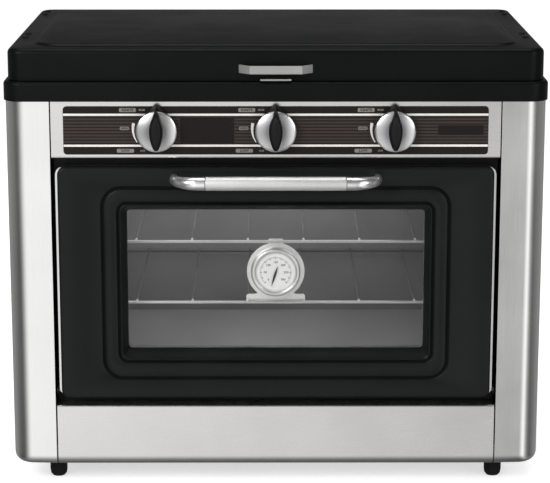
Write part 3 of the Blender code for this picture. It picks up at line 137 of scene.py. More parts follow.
# satin powder coat with a faint orange peel, on the lid and tray
surface("satin_powder_coat", "#090a0a", "#0d0e0e", 0.38, size=0.9 * mm, bump=0.012 * mm, level=0.08)
# smoother baked enamel on the door and the front frame
surface("baked_black_enamel", "#101111", "#141515", 0.34, size=1.6 * mm, bump=0.006 * mm, level=0.14)
# stainless sheet brushed from side to side
surface("brushed_stainless_across", "#d2d1cf", "#dcdbd9", 0.27, 1.0, along, 0.35 * mm, 0.002 * mm,
        smudge=0.02)
# stainless sheet brushed upright on the two wrap-round panels
surface("brushed_stainless_upright", "#d6d6d5", "#e0e0df", 0.24, 1.0, upright, 0.35 * mm, 0.002 * mm,
        smudge=0.02)
# bright rolled edge of the door's inner panel
surface("bright_rolled_steel", "#cfcfcd", "#e0e0de", 0.22, 1.0, upright, 0.5 * mm, 0.002 * mm)
# dull zinc coating with its crystals
surface("galvanised_sheet", "#6d7071", "#8b8e90", 0.5, 0.8, (1, 1, 1), 7 * mm)
# speckled grey oven enamel
surface("grey_oven_enamel", "#747474", "#848484", 0.45, size=1.2 * mm, bump=0.01 * mm)
# bright drawn wire with a chrome plating
surface("chromed_wire", "#d8d8d8", "#eeeeee", 0.32, 0.85, (1, 1, 1), 2 * mm, smudge=0.04)
# darker, duller copy of the chromed wire for the racks' rear wire and bars: painted shade deep in the oven
surface("painted_shade_rack_wire", "#474746", "#525251", 0.62, 0.25, (1, 1, 1), 2 * mm, smudge=0.04)
# polished chrome on the handle's curved ends
surface("polished_chrome", "#ececec", "#f6f6f6", 0.28, 0.95, (1, 1, 1), 6 * mm, smudge=0.02)
# satin ground tube, with scratches round it
surface("satin_ground_tube", "#cdcdcc", "#dcdcdb", 0.48, 0.8, (1, 0.02, 0.02), 0.4 * mm, 0.004 * mm)
# zinc plate with a soft bloom on the lid's strap
surface("satin_zinc_plate", "#8d8d8b", "#a3a3a1", 0.42, 0.55, along, 0.5 * mm, smudge=0.04)
# bright nickel plate of the gauge's stand
surface("bright_nickel_plate", "#e6e6e3", "#f2f2f0", 0.36, 0.75, (1, 1, 1), 3 * mm, smudge=0.04)
# heat-proof moulded black plastic
surface("moulded_black_plastic", "#0c0c0c", "#121212", 0.42, size=0.7 * mm, bump=0.01 * mm, level=0.18)
# turned brass, slightly darkened
surface("turned_brass", "#b08d4c", "#c8a662", 0.32, 1.0, (1, 0.02, 1), 0.5 * mm)
# sand-cast aluminium
surface("sand_cast_aluminium", "#8c8c8d", "#a6a6a7", 0.55, 1.0, (1, 1, 1), 1.1 * mm, 0.05 * mm)
# glossy black burner enamel
surface("burner_enamel", "#0f0f0f", "#171717", 0.25, size=1.5 * mm, bump=0.01 * mm)
# white lacquered dial
surface("white_dial_lacquer", "#e4e4e2", "#efefed", 0.4, size=1 * mm)
# moulded rubber of the feet
surface("moulded_rubber", "#0b0b0b", "#111111", 0.75, size=0.6 * mm, bump=0.03 * mm, level=0.2)
# light ink of the printed lines and marks
surface("light_screen_ink", "#c9c6c1", "#d6d3cf", 0.5, size=0.5 * mm)
# grey ink of the label blocks
surface("grey_screen_ink", "#6b6762", "#797570", 0.5, size=0.5 * mm, level=0.2)
# near-black ink of the bare panels and the words
surface("dark_screen_ink", "#130f0d", "#181412", 0.45, size=0.5 * mm, level=0.15)
# blued steel of the gauge's needle
surface("dark_needle_lacquer", "#2a2a2a", "#383838", 0.4, size=0.4 * mm)


def printedPlate():
    # Dark aluminium plate: two solid bands, fine stripes between them
    facts = {"pitch": 1.6 * mm, "half": 15.5 * mm, "lineFrom": 0.3, "lineTo": 0.45, "grain": 0.6 * mm,
             "level": 0.15}
    material, tree, shader = blank("printed_aluminium_plate")
    low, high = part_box("graphic_plate")
    middle = (low[2] + high[2]) / 2
    where = add(tree, "ShaderNodeSeparateXYZ", {0: stretched(tree, (1, 1, 1), (0, 0, middle))}).outputs["Z"]
    wave = add(tree, "ShaderNodeMath", {0: where, 1: facts["pitch"]}, operation="PINGPONG").outputs[0]
    stripe = between(tree, wave, 0, 1, facts["pitch"] * facts["lineFrom"], facts["pitch"] * facts["lineTo"])
    outer = add(tree, "ShaderNodeMath", {0: where}, operation="ABSOLUTE").outputs[0]
    band = add(tree, "ShaderNodeMath", {0: outer, 1: facts["half"]}, operation="GREATER_THAN").outputs[0]
    inside = add(tree, "ShaderNodeMath", {0: 1.0, 1: band}, operation="SUBTRACT").outputs[0]
    shown = add(tree, "ShaderNodeMath", {0: stripe, 1: inside}, operation="MULTIPLY").outputs[0]
    fine = noise(tree, stretched(tree, (1, 1, 1)), facts["grain"])
    feed(tree, shader, {"Base Color": tint(tree, shown, "#181311", "#352d29"),
                        "Roughness": between(tree, fine, 0.38, 0.5), "Specular IOR Level": facts["level"]})
    return material


def ovenGlass():
    # Clear toughened glass, slightly smoked: mostly see-through, with a real gloss
    facts = {"haze": 40 * mm, "alpha": 0.1, "level": 0.4}
    material, tree, shader = blank("toughened_oven_glass")
    haze = noise(tree, stretched(tree, (1, 1, 1)), facts["haze"])
    feed(tree, shader, {"Base Color": tint(tree, haze, "#3a3b3b", "#464747"), "Alpha": facts["alpha"],
                        "Roughness": between(tree, haze, 0.03, 0.07), "Specular IOR Level": facts["level"]})
    return material


def spunAluminium(name, centreX, centreZ):
    # Rings turned round the knob's axis
    facts = {"groove": 0.25 * mm, "depth": 0.004 * mm, "sheenFrom": 9 * mm, "bright": 19 * mm, "streak": 0.12}
    material, tree, shader = blank(name)
    flat = stretched(tree, (1, 0, 1), (centreX, 0, centreZ))
    radius = add(tree, "ShaderNodeVectorMath", {0: flat}, operation="LENGTH").outputs["Value"]
    rings = add(tree, "ShaderNodeCombineXYZ", {"X": radius}).outputs[0]
    fine = noise(tree, rings, facts["groove"], 2.0)
    # The face is turned matt, its outer edge is cut bright; in the base colour this is a painted sheen,
    # darker at the middle and light towards the rim
    painted_rim_sheen = between(tree, radius, 0.0, 1.0, facts["sheenFrom"], facts["bright"])
    streaks = between(tree, fine, -facts["streak"], facts["streak"])
    rings_and_painted_sheen = add(tree, "ShaderNodeMath", {0: streaks, 1: painted_rim_sheen}, operation="ADD").outputs[0]
    lifted = add(tree, "ShaderNodeBump", {"Strength": 0.6, "Distance": facts["depth"], "Height": fine})
    # The base colour carries the ring grain and the painted sheen of the rim
    feed(tree, shader, {"Base Color": tint(tree, rings_and_painted_sheen, "#7e7e80", "#dededf"), "Metallic": 1.0,
                        "Roughness": between(tree, fine, 0.26, 0.38), "Normal": lifted.outputs["Normal"]})
    return material


looks["printed_aluminium_plate"] = printedPlate()
looks["toughened_oven_glass"] = ovenGlass()
print("materials made")


# Mesh helpers

def ring(halfX, halfY, radius, steps):
    # Rectangle with round corners, anticlockwise: every corner is a quarter circle about its own centre
    turn = np.radians(np.linspace(0, 90, steps + 1))
    corners = []
    for quarter, (signX, signY) in enumerate(((1, 1), (-1, 1), (-1, -1), (1, -1))):
        angle = turn + math.radians(90 * quarter)
        corners.append(np.column_stack((signX * (halfX - radius) + radius * np.cos(angle),
                                        signY * (halfY - radius) + radius * np.sin(angle))))
    return np.vstack(corners)


def gridFaces(rows, count, closed=True):
    # Quads between neighbouring rows of points, count points in each
    across = np.arange(count if closed else count - 1)
    start = np.arange(rows - 1)[:, None] * count
    near, far = start + across, start + (across + 1) % count
    return np.stack((near, far, far + count, near + count), -1).reshape(-1, 4).tolist()


sheetMetal = {"rimShare": 0.3, "rimSteps": 2, "rimAngle": 50, "cornerSteps": 8, "bendSteps": 7,
              "leastCorner": 1 * mm}


def placed(name, data):
    # An object in the scene that shows the data
    made = bpy.data.objects.new(name, data)
    scene.collection.objects.link(made)
    return made


def meshObject(name, points, faces, angle=35):
    # A smooth mesh whose edges stay sharp past the angle
    mesh = bpy.data.meshes.new(name)
    mesh.from_pydata(np.asarray(points, dtype=float).tolist(), [], faces)
    mesh.update()
    mesh.shade_smooth()
    mesh.set_sharp_from_angle(angle=math.radians(angle))
    return placed(name, mesh)


def thicken(made, thickness, rim=0.0):
    # Gives a surface its wall, inwards, and takes the sharpness off its edges
    wall = made.modifiers.new("sheet", "SOLIDIFY")
    wall.thickness = thickness
    wall.offset = -1
    wall.use_even_offset = True
    if rim:
        edge = made.modifiers.new("edge", "BEVEL")
        edge.width = rim
        edge.segments = sheetMetal["rimSteps"]
        edge.limit_method = "ANGLE"
        edge.angle_limit = math.radians(sheetMetal["rimAngle"])
        edge.harden_normals = True
    return made


def toFront(points):
    # What was drawn from above is stood up to face the front: height becomes depth
    return np.asarray(points)[:, (0, 2, 1)] * (1, -1, 1)


def shell(name, rows, cap=True, front=False, sheet=1 * mm, angle=35):
    # Sheet metal through rings: half width, half depth, corner, level, middle
    rings = []
    for halfX, halfY, radius, level, middle in rows:
        flat = ring(halfX, halfY, radius, sheetMetal["cornerSteps"])
        rings.append(np.column_stack((flat[:, 0], flat[:, 1] + middle, np.full(len(flat), level))))
    count = len(rings[0])
    faces = gridFaces(len(rings), count)
    if cap:
        faces.append(list(range((len(rings) - 1) * count, len(rings) * count)))
    points = np.vstack(rings)
    made = meshObject(name, toFront(points) if front else points, faces, angle)
    return thicken(made, sheet, sheet * sheetMetal["rimShare"])


def bendRows(halfX, halfY, corner, level, radius, middle):
    # A quarter-round bend: the inset is 1 - cos, the rise is sin of the angle
    rows = []
    for turn in np.radians(np.linspace(0, 90, sheetMetal["bendSteps"] + 1)):
        inset = radius * (1 - math.cos(turn))
        rounded = max(corner - inset, sheetMetal["leastCorner"])
        rows.append((halfX - inset, halfY - inset, rounded, level + radius * math.sin(turn), middle))
    return rows


def filletLine(points, radii, steps=6):
    # An open line whose inner corners are rounded, each by its own radius
    points = [np.array(point, dtype=float) for point in points]
    line = [points[0]]
    for before, corner, after, radius in zip(points, points[1:], points[2:], radii):
        back = (before - corner) / np.linalg.norm(before - corner)
        on = (after - corner) / np.linalg.norm(after - corner)
        half = math.acos(float(np.clip(back @ on, -1, 1))) / 2
        reach = radius / math.tan(half)
        share = np.linspace(0, 1, steps + 1)[:, None]
        first, last = corner + back * reach, corner + on * reach
        centre = corner + (back + on) / np.linalg.norm(back + on) * (radius / math.sin(half))
        spokes = (first - centre) * (1 - share) + (last - centre) * share
        line.extend(centre + spokes / np.linalg.norm(spokes, axis=1)[:, None] * radius)
    return np.array(line + [points[-1]])


def foldedSheet(name, profile, lowX, highX, sheet=1 * mm):
    # A folded strip: its line in the side view (y, z), carried from lowX to highX
    profile = np.asarray(profile)
    sides = [np.column_stack((np.full(len(profile), x), profile)) for x in (lowX, highX)]
    points = np.stack(sides, 1).reshape(-1, 3)
    faces = [(2 * i, 2 * i + 1, 2 * i + 3, 2 * i + 2) for i in range(len(profile) - 1)]
    return thicken(meshObject(name, points, faces), sheet, sheet * sheetMetal["rimShare"])


def lathe(name, profile, steps=48, angle=30):
    # A round body about Z: its profile of radius and height is turned in equal steps
    profile = np.asarray(profile, dtype=float)
    turn = np.linspace(0, 2 * math.pi, steps, endpoint=False)[:, None]
    points = np.stack((profile[:, 0] * np.cos(turn), profile[:, 0] * np.sin(turn),
                       np.broadcast_to(profile[:, 1], (steps, len(profile)))), -1)
    count = len(profile)
    faces = []
    for step in range(steps):
        on = (step + 1) % steps
        faces += [(step * count + i, step * count + i + 1, on * count + i + 1,
                   on * count + i) for i in range(count - 1)]
    return meshObject(name, points.reshape(-1, 3), faces, angle)


def reshape(mesh, change):
    # Puts all points through a change, so that the object itself stays at the origin
    points = np.empty(len(mesh.vertices) * 3)
    mesh.vertices.foreach_get("co", points)
    mesh.vertices.foreach_set("co", change(points.reshape(-1, 3)).ravel())
    mesh.update()


def stoodUp(made, x, y, z):
    # Turns what was drawn from above to the front, and moves it to its place
    reshape(made.data, lambda points: toFront(points) + (x, y, z))
    return made


def meshed(name, drawing):
    # A curve or a word as a mesh
    sketch = placed(name + "_sketch", drawing)
    mesh = bpy.data.meshes.new_from_object(sketch.evaluated_get(bpy.context.evaluated_depsgraph_get()))
    bpy.data.objects.remove(sketch, do_unlink=True)
    return placed(name, mesh)


def tube(name, points, radius, radii=None, sides=6):
    # A round wire or pipe along a line; radii are shares of its radius, one for each point
    line = bpy.data.curves.new(name, "CURVE")
    line.dimensions = "3D"
    line.bevel_depth = radius
    line.bevel_resolution = sides
    line.use_fill_caps = True
    spline = line.splines.new("POLY")
    spline.points.add(len(points) - 1)
    for index, place in enumerate(points):
        spline.points[index].co = (*[float(value) for value in place], 1)
        spline.points[index].radius = float(radii[index]) if radii is not None else 1.0
    spline.use_smooth = True
    made = meshed(name, line)
    made.data.shade_smooth()
    made.data.set_sharp_from_angle(angle=math.radians(40))
    return made


def joined(name, pieces):
    # Several meshes in one object
    graph = bpy.context.evaluated_depsgraph_get()
    points, faces, start = [], [], 0
    for item in pieces:
        mesh = item.evaluated_get(graph).to_mesh()
        points += [tuple(vertex.co) for vertex in mesh.vertices]
        faces += [[start + index for index in polygon.vertices] for polygon in mesh.polygons]
        start += len(mesh.vertices)
        item.evaluated_get(graph).to_mesh_clear()
    made = meshObject(name, points, faces, 40)
    for item in pieces:
        bpy.data.objects.remove(item, do_unlink=True)
    return made


def dress(made, look, body=None, slot=None, *nodes):
    # Material, the body it rides on and the nodes it stands for; slot, its finish in the record, is not used
    made.data.materials.clear()
    made.data.materials.append(looks[look])
    if body:
        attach(made, body)
    if nodes:
        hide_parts(*nodes)
    return made


def boxOf(node):
    # Low corner, high corner and middle of a node at rest
    low, high = (np.array(corner, dtype=float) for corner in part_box(node))
    return low, high, (low + high) / 2


def twin(made, name):
    # The mirror image on the other side of X = 0
    graph = bpy.context.evaluated_depsgraph_get()
    mesh = bpy.data.meshes.new_from_object(made.evaluated_get(graph))
    reshape(mesh, lambda points: points * (-1, 1, 1))
    mesh.flip_normals()
    return placed(name, mesh)


# Lid

lid = {"corner": 16 * mm, "bend": 5 * mm, "inset": 22.5 * mm, "run": 4 * mm, "rise": 2 * mm,
       "embossCorner": 24 * mm, "embossSteps": 7}
low, high, middle = boxOf("lid_shell")
halfX, halfY = (high - low)[:2] / 2
rim = high[2] - lid["rise"]
rows = [(halfX, halfY, lid["corner"], low[2], middle[1])]
rows += bendRows(halfX, halfY, lid["corner"], rim - lid["bend"], lid["bend"], middle[1])
for share in np.linspace(0, 1, lid["embossSteps"]):
    inset = lid["inset"] + lid["run"] * share
    level = rim + lid["rise"] * (1 - math.cos(math.pi * share)) / 2
    rows.append((halfX - inset, halfY - inset, lid["embossCorner"], level, middle[1]))
dress(shell("lid_cover", rows, angle=60), "satin_powder_coat", "lid", "painted_black_steel", "lid_shell")

# Strap and latch on the lid's front
strap = {"flatHalf": 25.5 * mm, "half": 36.4 * mm, "bend": 4 * mm, "sheet": 1 * mm, "rim": 0.3 * mm}
low, high, _ = boxOf("lid_handle")
line = filletLine([(-strap["half"], high[1]), (-strap["flatHalf"], low[1]), (strap["flatHalf"], low[1]),
                   (strap["half"], high[1])], [strap["bend"]] * 2)
points = np.stack([np.column_stack((line, np.full(len(line), level))) for level in (low[2], high[2])],
                  1).reshape(-1, 3)
faces = [(2 * i, 2 * i + 2, 2 * i + 3, 2 * i + 1) for i in range(len(line) - 1)]
strapSheet = thicken(meshObject("lid_strap", points, faces), strap["sheet"], strap["rim"])
dress(strapSheet, "satin_zinc_plate", "lid", "brushed_steel", "lid_handle")

latch = {"curl": 0.9 * mm, "lift": 0.4 * mm, "bend": 1.5 * mm, "sheet": 0.8 * mm, "side": 0.3 * mm}
low, high, _ = boxOf("lid_latch")
curlY, foldZ = low[1] + latch["curl"], low[2] + latch["lift"]
profile = filletLine([(curlY, foldZ), (high[1], foldZ), (high[1], high[2])], [latch["bend"]])
# The latch is steel: its fold takes the lid's black coat, painted shade under the strap, and only its curl
# keeps the bright plate
latchFold = foldedSheet("lid_latch_fold", profile[::-1], low[0], high[0], latch["sheet"])
dress(latchFold, "satin_powder_coat", "lid", "brushed_steel", "lid_latch")
curl = [(x, curlY, low[2] + latch["curl"]) for x in (low[0] + latch["side"], high[0] - latch["side"])]
dress(tube("lid_latch_curl", curl, latch["curl"]), "satin_zinc_plate", "lid", "brushed_steel")
print("lid made")


# Hob tray

tray = {"corner": 19 * mm, "shoulder": 3 * mm, "shelf": 7 * mm, "wall": 2 * mm, "floorBend": 4 * mm,
        "floorSteps": 5, "floor": 400 * mm, "sheet": 0.9 * mm}
low, high, middle = boxOf("hob_tray")
halfX, halfY = (high - low)[:2] / 2
rows = [(halfX, halfY, tray["corner"], low[2], middle[1])]
rows += bendRows(halfX, halfY, tray["corner"], high[2] - tray["shoulder"], tray["shoulder"], middle[1])
inset = tray["shoulder"] + tray["shelf"]
wallCorner = tray["corner"] - inset
rows.append((halfX - inset, halfY - inset, wallCorner, high[2], middle[1]))
inset += tray["wall"]
rows.append((halfX - inset, halfY - inset, wallCorner, high[2] - tray["wall"], middle[1]))
for turn in np.radians(np.linspace(0, 90, tray["floorSteps"])):
    bendIn = tray["floorBend"] * (1 - math.cos(turn))
    rows.append((halfX - inset - bendIn, halfY - inset - bendIn, wallCorner,
                 tray["floor"] + tray["floorBend"] * (1 - math.sin(turn)), middle[1]))
trayPressing = shell("hob_tray_pressing", rows, sheet=tray["sheet"], angle=60)
dress(trayPressing, "satin_powder_coat", "stove", "painted_black_steel", "hob_tray")
print("tray made")


# Casing

casing = {"corner": 21 * mm, "bottomBend": 11 * mm, "seamEdge": 223 * mm, "sheet": 1 * mm, "rim": 0.3 * mm,
          "fold": 2 * mm, "topFlange": 22 * mm, "panFront": -120 * mm, "steps": 10, "lean": 3}


def sidePanel(name):
    # Half of a round-cornered tub: the front strip, the side and the rear strip, bent under at the bottom
    low, high, middle = boxOf("side_panel_left")
    halfY = (high[1] - low[1]) / 2
    rows = []
    under = casing["bottomBend"]
    bends = [(under * (1 - math.sin(turn)), low[2] + under * (1 - math.cos(turn)))
             for turn in np.radians(np.linspace(0, 90, casing["steps"] + 1))]
    for inset, level in [*bends, (0, high[2])]:
        corner = max(casing["corner"] - inset, casing["fold"])
        # The front and rear strips lean back a little towards the corners
        turn = np.radians(np.linspace(casing["lean"], 90, casing["steps"] + 1))
        centreX, edge = low[0] + inset + corner, halfY - inset
        setback = (centreX - corner * math.sin(turn[0]) + casing["seamEdge"]) * -math.tan(turn[0])
        front = np.column_stack((centreX - corner * np.sin(turn),
                                 middle[1] - edge + corner - corner * np.cos(turn)))
        depth = front[:, 1].copy()
        front[:, 1] += setback * (depth[-1] - depth) / np.ptp(depth)
        turn = np.radians(np.linspace(0, 90, casing["steps"] + 1))
        back = np.column_stack((centreX - corner * np.cos(turn),
                                middle[1] + edge - corner + corner * np.sin(turn)))
        ends = [(-casing["seamEdge"], middle[1] + side * edge) for side in (-1, 1)]
        line = np.vstack((ends[0], front, back, ends[1]))
        rows.append(np.column_stack((line, np.full(len(line), level)))[::-1])
    faces = gridFaces(len(rows), len(rows[0]), closed=False)
    faces.append(list(range(len(rows[0])))[::-1])
    return thicken(meshObject(name, np.vstack(rows), faces, 50), casing["sheet"], casing["rim"])


leftPanel = dress(sidePanel("left_wrap_panel"), "brushed_stainless_upright", "stove", "brushed_steel",
                  "side_panel_left")
dress(twin(leftPanel, "right_wrap_panel"), "brushed_stainless_upright", "stove", "brushed_steel",
      "side_panel_right")

low, high, _ = boxOf("base_front_panel")
profile = filletLine([(high[1], low[2]), (low[1], low[2]), (low[1], high[2]),
                      (low[1] + casing["topFlange"], high[2])],
                     [casing["bottomBend"], casing["fold"]], 8)
baseFold = foldedSheet("base_front_fold", profile, low[0], high[0])
dress(baseFold, "brushed_stainless_across", "stove", "brushed_steel", "base_front_panel")


# The galvanised pan inside: its front corners lean back with the panels
def leaned(points):
    # The further a point is beyond the seam, the further it moves back
    outside = np.clip(np.abs(points[:, 0]) - casing["seamEdge"], 0, None)
    points[:, 1] += outside * math.tan(math.radians(casing["lean"])) * (points[:, 1] < casing["panFront"])
    return points


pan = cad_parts["base_pan"].data.copy()
reshape(pan, leaned)
dress(placed("galvanised_base_pan", pan), "galvanised_sheet", "stove", "galvanised_steel", "base_pan")
print("casing made")


# Control panel: light lines, bare panels, small words and the flame arcs round each knob

control = {"lineHalf": 1.05 * mm, "lineUp": 15.8 * mm, "lineDown": 15.1 * mm, "proud": 0.06 * mm,
           "margin": 0.3 * mm, "arcRadius": 22.2 * mm, "arcFrom": 162, "arcTo": 211, "arcSteps": 19,
           "arcThick": 3 * mm, "arcThin": 0.8 * mm, "labelCorner": 1 * mm, "labelCornerShare": 0.6,
           "labelSteps": 3}
# Bare panels: left and right end, and the reach below and above the middle of the plate
barePanels = ((-94 * mm, -41 * mm, 12.6 * mm, 12.6 * mm), (160 * mm, 204.5 * mm, 4.5 * mm, 5.2 * mm))
# The three controls: place in steps of the knobs' pitch, and name
controlPlaces = ((-1, "left"), (0, "middle"), (1, "right"))
low, high, middle = boxOf("graphic_plate")
plateFront = low[1] - control["proud"]
knobPitch = boxOf("valve_stem_right")[2][0]
dress(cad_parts["graphic_plate"], "printed_aluminium_plate")


def inkPatch(name, outlines, look, depth=plateFront):
    # Flat printed shapes, each an outline in x and z, facing the front
    points, faces = [], []
    for outline in outlines:
        start = len(points)
        points += [(x, depth, z) for x, z in outline]
        faces.append(list(range(start, start + len(outline))))
    return dress(meshObject(name, points, faces), look, "stove", "printed_plate")


def bar(x0, x1, z0, z1):
    # An upright rectangle
    return [(x0, z0), (x1, z0), (x1, z1), (x0, z1)]


plateEdge = high[0] - control["margin"]
lines = [bar(-plateEdge, plateEdge, middle[2] + offset - control["lineHalf"],
             middle[2] + offset + control["lineHalf"])
         for offset in (control["lineUp"], -control["lineDown"])]
for side, _ in controlPlaces:
    # The arc is thick at the top and thins out towards the bottom
    turn = np.radians(np.linspace(control["arcFrom"], control["arcTo"], control["arcSteps"]))
    thick = np.linspace(control["arcThick"], control["arcThin"], control["arcSteps"])
    edges = [np.column_stack((side * knobPitch + radius * np.cos(turn), middle[2] + radius * np.sin(turn)))
             for radius in (control["arcRadius"] + thick, control["arcRadius"])]
    lines.append([tuple(point) for point in np.vstack((edges[0], edges[1][::-1]))])
inkPatch("light_printed_lines", lines, "light_screen_ink")
bare = [bar(start, end, middle[2] - down, middle[2] + up) for start, end, down, up in barePanels]
inkPatch("dark_bare_panels", bare, "dark_screen_ink")


lettering = {"capitalShare": 0.7, "weightShare": 0.03}


def word(name, text, x, z, height, depth, look, slot):
    # A printed word, centred on its place and facing the front
    letters = bpy.data.curves.new(name, "FONT")
    letters.body = text
    letters.size = height / lettering["capitalShare"]
    letters.align_x = "CENTER"
    letters.align_y = "CENTER"
    letters.resolution_u = 2
    letters.offset = height * lettering["weightShare"]
    dress(stoodUp(meshed(name, letters), x, depth, z), look, "stove", slot)


# Grey label blocks with dark words: text, middle x and z, block half width and half height, letter height
labels = (("IGNITE", -28.5, 20.4, 8.3, 2.0, 2.6), ("OFF", -14.4, 20.6, 3.0, 0.9, 1.2),
          ("HIGH", -31.6, 2.2, 4.6, 1.7, 2.2), ("LOW", -31.0, -20.2, 8.5, 1.9, 2.5),
          ("MIN", -14.0, -20.2, 2.4, 0.8, 1.1))
blocks = []
for side, _ in controlPlaces:
    for _, x, z, halfWide, halfTall, _ in labels:
        corner = min(control["labelCorner"], halfTall * control["labelCornerShare"] * mm)
        outline = ring(halfWide * mm, halfTall * mm, corner, control["labelSteps"])
        blocks.append([tuple(point) for point in outline + (side * knobPitch + x * mm, middle[2] + z * mm)])
inkPatch("grey_label_blocks", blocks, "grey_screen_ink")
for side, name in controlPlaces:
    for label, x, z, _, _, height in labels:
        word("word_" + label.lower() + "_" + name, label, side * knobPitch + x * mm, middle[2] + z * mm,
             height * mm, plateFront - control["proud"], "dark_screen_ink", "printed_plate")
print("control panel made")


# Knobs

knob = {"lift": 3.6 * mm, "skirt": 3 * mm, "skirtRadius": 19.8 * mm, "tip": 26.2 * mm, "tipShare": 0.05,
        "trimRadius": 20.2 * mm, "trimRim": 0.7 * mm, "trim": 6.5 * mm, "dome": 3.6 * mm,
        "discGap": 0.3 * mm, "rollAngle": 60, "domeEdge": 0.94, "bladeTop": 24.5 * mm,
        "bladeBottom": 17.8 * mm, "bladeHalf": 6.8 * mm, "bladeOut": 22.4 * mm, "bladeSink": 0.5 * mm,
        "bladeSwell": 1.15, "bladeBlunt": 1.1, "bladeSharpen": 0.72, "wallShare": 0.45,
        "crownShare": 0.7, "crownPower": 2.6}
# Skirt: share of its outline, and height over its lower face or, from the end, under its upper one
skirtRows = ((0.98, 0), (1, 0.5 * mm), (1, -0.6 * mm), (0.97, 0))
# Round top of the grip: share of the leaf, and height over its wall
crownRows = ((0.6, 0.35 * mm), (0.42, 0.6 * mm), (0.2, 0.75 * mm))


def bladeOutline(scale, count=40):
    # Leaf: a sine bulge along the height whose power grows towards the pointed top
    share = np.linspace(0, 1, count)
    up = knob["bladeTop"] * scale
    down = knob["bladeBottom"] * scale
    z = up - (up + down) * (1 - np.cos(math.pi * share)) / 2
    bulge = np.sin(math.pi * np.clip((up - z) / (up + down), 0, 1) ** knob["bladeSwell"])
    power = knob["bladeBlunt"] - knob["bladeSharpen"] * share
    half = knob["bladeHalf"] * scale * np.clip(bulge, 0, 1) ** power
    right = np.column_stack((half, z))[1:-1]
    left = np.column_stack((-half, z))[1:-1][::-1]
    return np.vstack(([(0, up)], left[::-1], [(0, -down)], right[::-1]))


def knobBody(name, x, plane, z):
    # Skirt with a blunt tip, and the leaf-shaped grip that rises through the bright disc
    shoulder = math.acos(knob["skirtRadius"] / knob["tip"])
    turn = np.linspace(math.pi / 2 + shoulder, math.pi * 2.5 - shoulder, 60)
    tipHalf = knob["tip"] * knob["tipShare"]
    outline = np.vstack((knob["skirtRadius"] * np.column_stack((np.cos(turn), np.sin(turn))),
                         [(tipHalf, knob["tip"]), (-tipHalf, knob["tip"])]))
    top = knob["lift"] + knob["skirt"]
    starts = (knob["lift"], knob["lift"], top, top)
    rings = [np.column_stack((outline * size, np.full(len(outline), level + rise)))
             for level, (size, rise) in zip(starts, skirtRows)]
    count = len(outline)
    faces = gridFaces(len(rings), count) + [list(range(count))[::-1], list(range(3 * count, 4 * count))]
    skirt = meshObject(name + "_skirt", np.vstack(rings), faces, 40)
    leafRows = [(1, top - knob["bladeSink"])]
    for share in np.linspace(0, 1, 9):
        crown = math.sqrt(max(1 - share ** knob["crownPower"], 0))
        rise = knob["wallShare"] + (1 - knob["wallShare"]) * share
        leafRows.append((knob["crownShare"] + (1 - knob["crownShare"]) * crown,
                         top + (knob["bladeOut"] - top) * rise))
    leafRows += [(scale, knob["bladeOut"] + extra) for scale, extra in crownRows]
    leafRings = []
    for scale, level in leafRows:
        leaf = bladeOutline(scale)
        leafRings.append(np.column_stack((leaf, np.full(len(leaf), level))))
    count = len(leafRings[0])
    last = (len(leafRings) - 1) * count
    faces = gridFaces(len(leafRings), count) + [list(range(last, last + count))]
    blade = meshObject(name + "_blade", np.vstack(leafRings), faces, 60)
    return stoodUp(joined(name, [skirt, blade]), x, plane, z)


def trimDisc(name, x, plane, z):
    # Bright disc: a small rolled rim round a face that is domed by a parabola
    low = knob["lift"] + knob["skirt"] + knob["discGap"]
    radius, rim, dome = knob["trimRadius"], knob["trimRim"], knob["dome"]
    top = low + knob["trim"]
    side = top - dome
    edge = [(radius - rim * (1 - math.cos(turn)), side - rim * (1 - math.sin(turn)))
            for turn in np.radians(np.linspace(0, knob["rollAngle"], 5))]
    dish = [(radius * share, top - dome * share ** 2)
            for share in np.linspace(knob["domeEdge"], 0, 16)]
    return stoodUp(lathe(name, [(radius, low)] + edge + dish, 72, 50), x, plane, z)


platePlane = low[1]
for side, label in controlPlaces:
    x = side * knobPitch
    grip = knobBody("grip_knob_" + label, x, platePlane, middle[2])
    dress(grip, "moulded_black_plastic", "control_" + label, "black_plastic", "knob_" + label)
    looks["spun_" + label] = spunAluminium("spun_aluminium_" + label, x, middle[2])
    disc = trimDisc("spun_disc_" + label, x, platePlane, middle[2])
    dress(disc, "spun_" + label, "control_" + label, "spun_trim", "knob_trim_" + label)
print("knobs made")


# Door

door = {"corner": 8 * mm, "bend": 2.8 * mm, "return": 7.8 * mm, "grooveHalf": 172.4 * mm,
        "grooveBottom": 115 * mm, "grooveTop": 310.7 * mm, "grooveCorner": 19 * mm,
        "grooveWidth": 2.3 * mm, "grooveDepth": 2.6 * mm,
        "channelOut": 2.7 * mm, "channelWidth": 2.1 * mm, "channelDepth": 2.6 * mm, "channelSteps": 9,
        "windowHalf": 154.2 * mm, "windowBottom": 135 * mm, "windowTop": 292.5 * mm, "windowCorner": 6 * mm,
        "sightHalf": 148.6 * mm, "sightBottom": 143 * mm, "sightTop": 287 * mm, "sightCorner": 3.5 * mm,
        "windowDepth": 10 * mm, "slopeShares": (0, 0.12, 0.3, 0.6, 1), "slopePower": 1.2}
low, high, middle = boxOf("door_panel")
halfX, halfZ = (high - low)[0] / 2, (high - low)[2] / 2
front = -low[1]
rows = [(halfX, halfZ, door["corner"], front - door["return"], middle[2])]
rows += bendRows(halfX, halfZ, door["corner"], front - door["bend"], door["bend"], middle[2])
grooveZ = (door["grooveTop"] + door["grooveBottom"]) / 2
grooveHalf = (door["grooveTop"] - door["grooveBottom"]) / 2
for share in np.linspace(-1, 1, door["channelSteps"]):
    out = -share * door["grooveWidth"]
    rows.append((door["grooveHalf"] + out, grooveHalf + out, door["grooveCorner"] + out,
                 front - door["grooveDepth"] * (1 + math.cos(math.pi * share)) / 2, grooveZ))
windowZ = (door["windowTop"] + door["windowBottom"]) / 2
